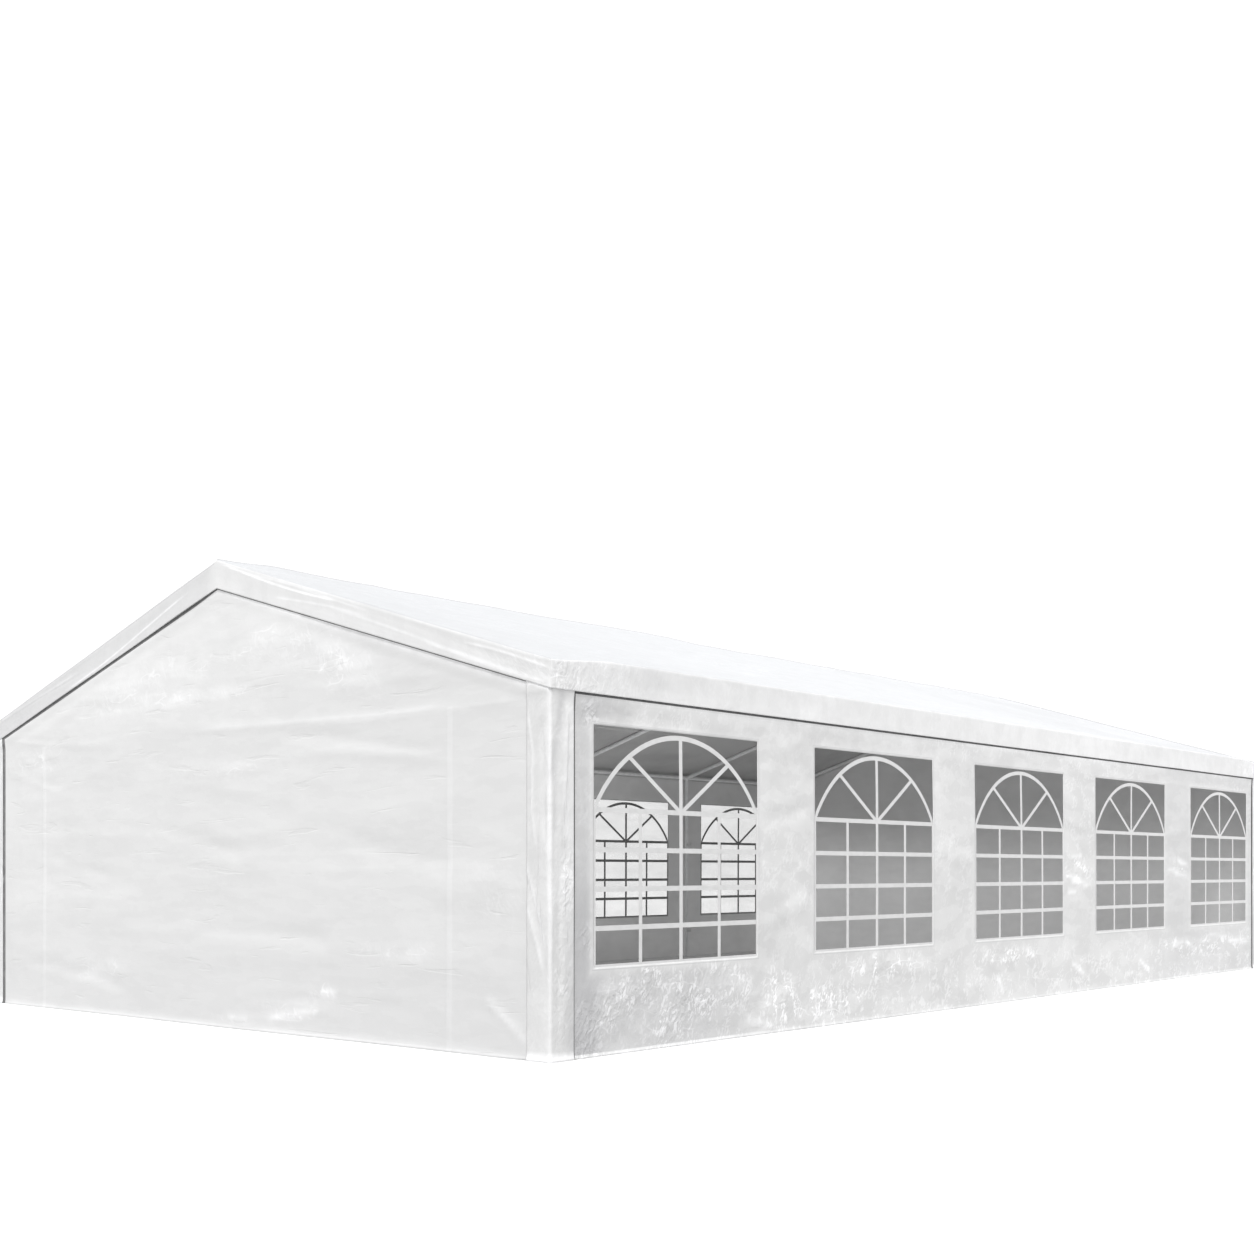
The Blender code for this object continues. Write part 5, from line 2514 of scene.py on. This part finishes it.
# In the crease tables here and below, a crease's last number paints a highlight on its ridge; below 0,
# painted shade along it
FRONT_FOLDS = each(
    FoldLine,
    (-4.88, 0.362, -4.38, 0.35, 0.012, 0.004, 0.6), (-4.84, 0.06, -4.22, 0.4, 0.045, 0.003),
    (-4.6, 0.03, -4.18, 0.26, 0.04, -0.003), (-4.16, 0.02, -4.05, 0.36, 0.035, 0.004),
    (-3.94, 0.05, -3.78, 0.4, 0.035, -0.003), (-3.4, 0.085, -3.1, 0.035, 0.012, 0.008, 0.6),
    (-3.42, 0.1, -2.95, 0.34, 0.05, -0.006), (-2.72, 0.22, -2.66, 0.05, 0.014, 0.006, 0.5),
    (-2.45, 0.24, -2.4, 0.05, 0.014, 0.006, 0.5), (-4.82, 1.8, -4.6, 1.72, 0.02, 0.004, 0.3),
    (-4.82, 1.785, -4.4, 1.77, 0.045, 0.0, -0.24), (-4.33, 1.8, -4.28, 1.755, 0.01, 0.002, 0.7),
    (-4.46, 1.8, -4.43, 1.765, 0.009, 0.002, 0.5), (-3.28, 1.2, -2.72, 1.36, 0.05, -0.007),
    (-3.25, 0.62, -2.75, 0.8, 0.05, 0.007), (-1.28, 1.1, -0.74, 1.0, 0.05, 0.007),
    (0.74, 1.3, 1.26, 1.16, 0.05, -0.007), (2.74, 1.22, 3.26, 1.34, 0.05, 0.007),
    (0.72, 0.93, 1.04, 0.86, 0.018, 0.004, 0.8), (0.84, 0.87, 1.16, 0.83, 0.014, 0.003, 0.6),
    (0.84, 1.06, 1.04, 1.05, 0.013, 0.003, 0.6), (0.75, 0.78, 0.95, 0.78, 0.013, 0.003, 0.5),
    (2.98, 1.03, 3.26, 1.0, 0.022, 0.004, 0.9), (2.73, 0.96, 3.02, 0.93, 0.018, 0.004, 0.8),
    (2.92, 0.91, 3.26, 0.9, 0.014, 0.003, 0.6), (2.85, 0.27, 3.15, 0.33, 0.018, 0.004, 0.7),
    (3.15, 0.33, 3.45, 0.24, 0.018, 0.004, 0.6), (3.7, 0.36, 4.2, 0.33, 0.016, 0.003, 0.6),
    (4.2, 0.31, 4.75, 0.26, 0.02, 0.004, 0.9), (2.15, 0.2, 2.4, 0.1, 0.018, 0.004, 0.8),
    (0.85, 0.24, 1.1, 0.12, 0.018, 0.004, 0.6), (0.05, 0.38, 0.22, 0.3, 0.015, 0.003, 0.6),
    (-0.38, 0.2, -0.3, 0.06, 0.018, 0.004, 0.8),
)
BACK_PATCHES = each(
    Patch,
    (4.6, 0.22, 0.3, 0.12, 0.9), (3.0, 0.3, 0.25, 0.15, 0.8), (1.1, 0.95, 0.12, 0.12, 0.9),
    (0.1, 0.22, 0.5, 0.1, 0.7), (-1.0, 1.2, 0.14, 0.12, 0.8), (-2.3, 0.2, 0.45, 0.1, 0.8),
    (-4.3, 0.26, 0.35, 0.12, 0.9), (-4.76, 1.7, 0.08, 0.09, 0.8),
)
BACK_FOLDS = each(
    FoldLine,
    (4.85, 0.36, 4.3, 0.34, 0.012, 0.004, 0.6), (3.3, 0.05, 2.85, 0.36, 0.04, 0.008),
    (1.3, 1.2, 0.75, 1.05, 0.05, 0.007), (-0.75, 0.8, -1.28, 0.95, 0.05, -0.007),
    (-2.74, 1.3, -3.24, 1.16, 0.05, 0.007), (-4.5, 0.05, -4.1, 0.34, 0.04, 0.008),
)
GABLE_PATCHES = each(
    Patch,
    (-0.45, 2.27, 0.45, 0.1, 0.8), (-1.12, 2.12, 0.35, 0.14, 0.9, 20),
    (0.45, 2.22, 0.4, 0.1, 0.7), (1.05, 2.06, 0.45, 0.1, 0.7), (0.2, 2.02, 0.6, 0.05, 0.5),
    (2.1, 1.72, 0.35, 0.12, 0.6), (-0.1, 1.55, 0.5, 0.05, 0.4), (-1.02, 0.27, 0.12, 0.05, 0.9),
    (-0.72, 0.14, 0.25, 0.06, 1.0), (-0.17, 0.06, 0.25, 0.04, 0.7), (-1.66, 0.5, 0.4, 0.06, 0.5),
    (-2.4, 0.85, 0.18, 0.2, 0.4), (1.4, 0.3, 0.45, 0.1, 0.5),
)
GABLE_FOLDS = each(
    FoldLine,
    (-2.06, 1.862, 0.25, 1.775, 0.016, 0.0016, 0.22),
    (-1.92, 1.57, -0.85, 1.62, 0.024, 0.0016, 0.05), (-1.95, 1.6, -0.6, 1.72, 0.035, -0.003),
    (-2.62, 0.08, -2.32, 0.3, 0.02, 0.006, 0.3), (-0.22, 2.23, -0.98, 2.3, 0.045, 0.0016, 0.1),
    (-0.9, 2.27, -1.36, 2.02, 0.045, 0.0016, 0.1), (0.1, 2.12, 0.66, 2.24, 0.035, 0.0012, 0.08),
    (0.55, 2.16, 1.2, 2.1, 0.035, 0.0012, 0.08), (0.3, 1.98, 1.3, 2.0, 0.03, 0.0012, 0.06),
    (2.54, 1.64, 1.78, 1.49, 0.02, 0.0025, 0.12), (1.97, 1.06, 1.22, 0.9, 0.04, -0.004),
    (0.6, 1.18, -0.3, 1.05, 0.05, -0.004), (0.25, 0.63, -1.1, 0.52, 0.05, -0.005),
    (2.3, 0.3, 1.0, 0.2, 0.04, -0.005), (-1.2, 1.1, -2.1, 0.98, 0.05, -0.004),
    (-0.5, 0.085, -0.98, 0.145, 0.018, 0.0008, 0.5),
    (-0.98, 0.262, -1.13, 0.262, 0.024, 0.001, 0.6),
    (-0.1, 0.075, -0.32, 0.08, 0.012, 0.0005, 0.35),
)


def main() -> None:
    """Builds the tent piece by piece, then the studio."""
    logging.basicConfig(level=logging.INFO, format="%(message)s")
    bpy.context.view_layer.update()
    sizes = TentSizes.from_frame()
    finishes = Finishes.make()
    parts = [
        TubeFrame(sizes),
        RoofCover(sizes),
        WindowWall(sizes, Side.FRONT, FRONT_PATCHES, FRONT_FOLDS, seed=2.3),
        WindowWall(sizes, Side.BACK, BACK_PATCHES, BACK_FOLDS, seed=61.7),
        GableWall(sizes, End.LEFT, GABLE_PATCHES, GABLE_FOLDS, seed=5.1),
        GableWall(sizes, End.RIGHT, GABLE_PATCHES, GABLE_FOLDS, seed=83.9),
    ]
    parts += [CornerCover(sizes, side, end) for side in Side for end in End]
    for part in parts:
        for piece in part.build(finishes):
            LOG.info("%s: %s, %d points", type(part).__name__, piece.name, len(piece.data.vertices))
    Studio().build()


if __name__ == "__main__":
    main()
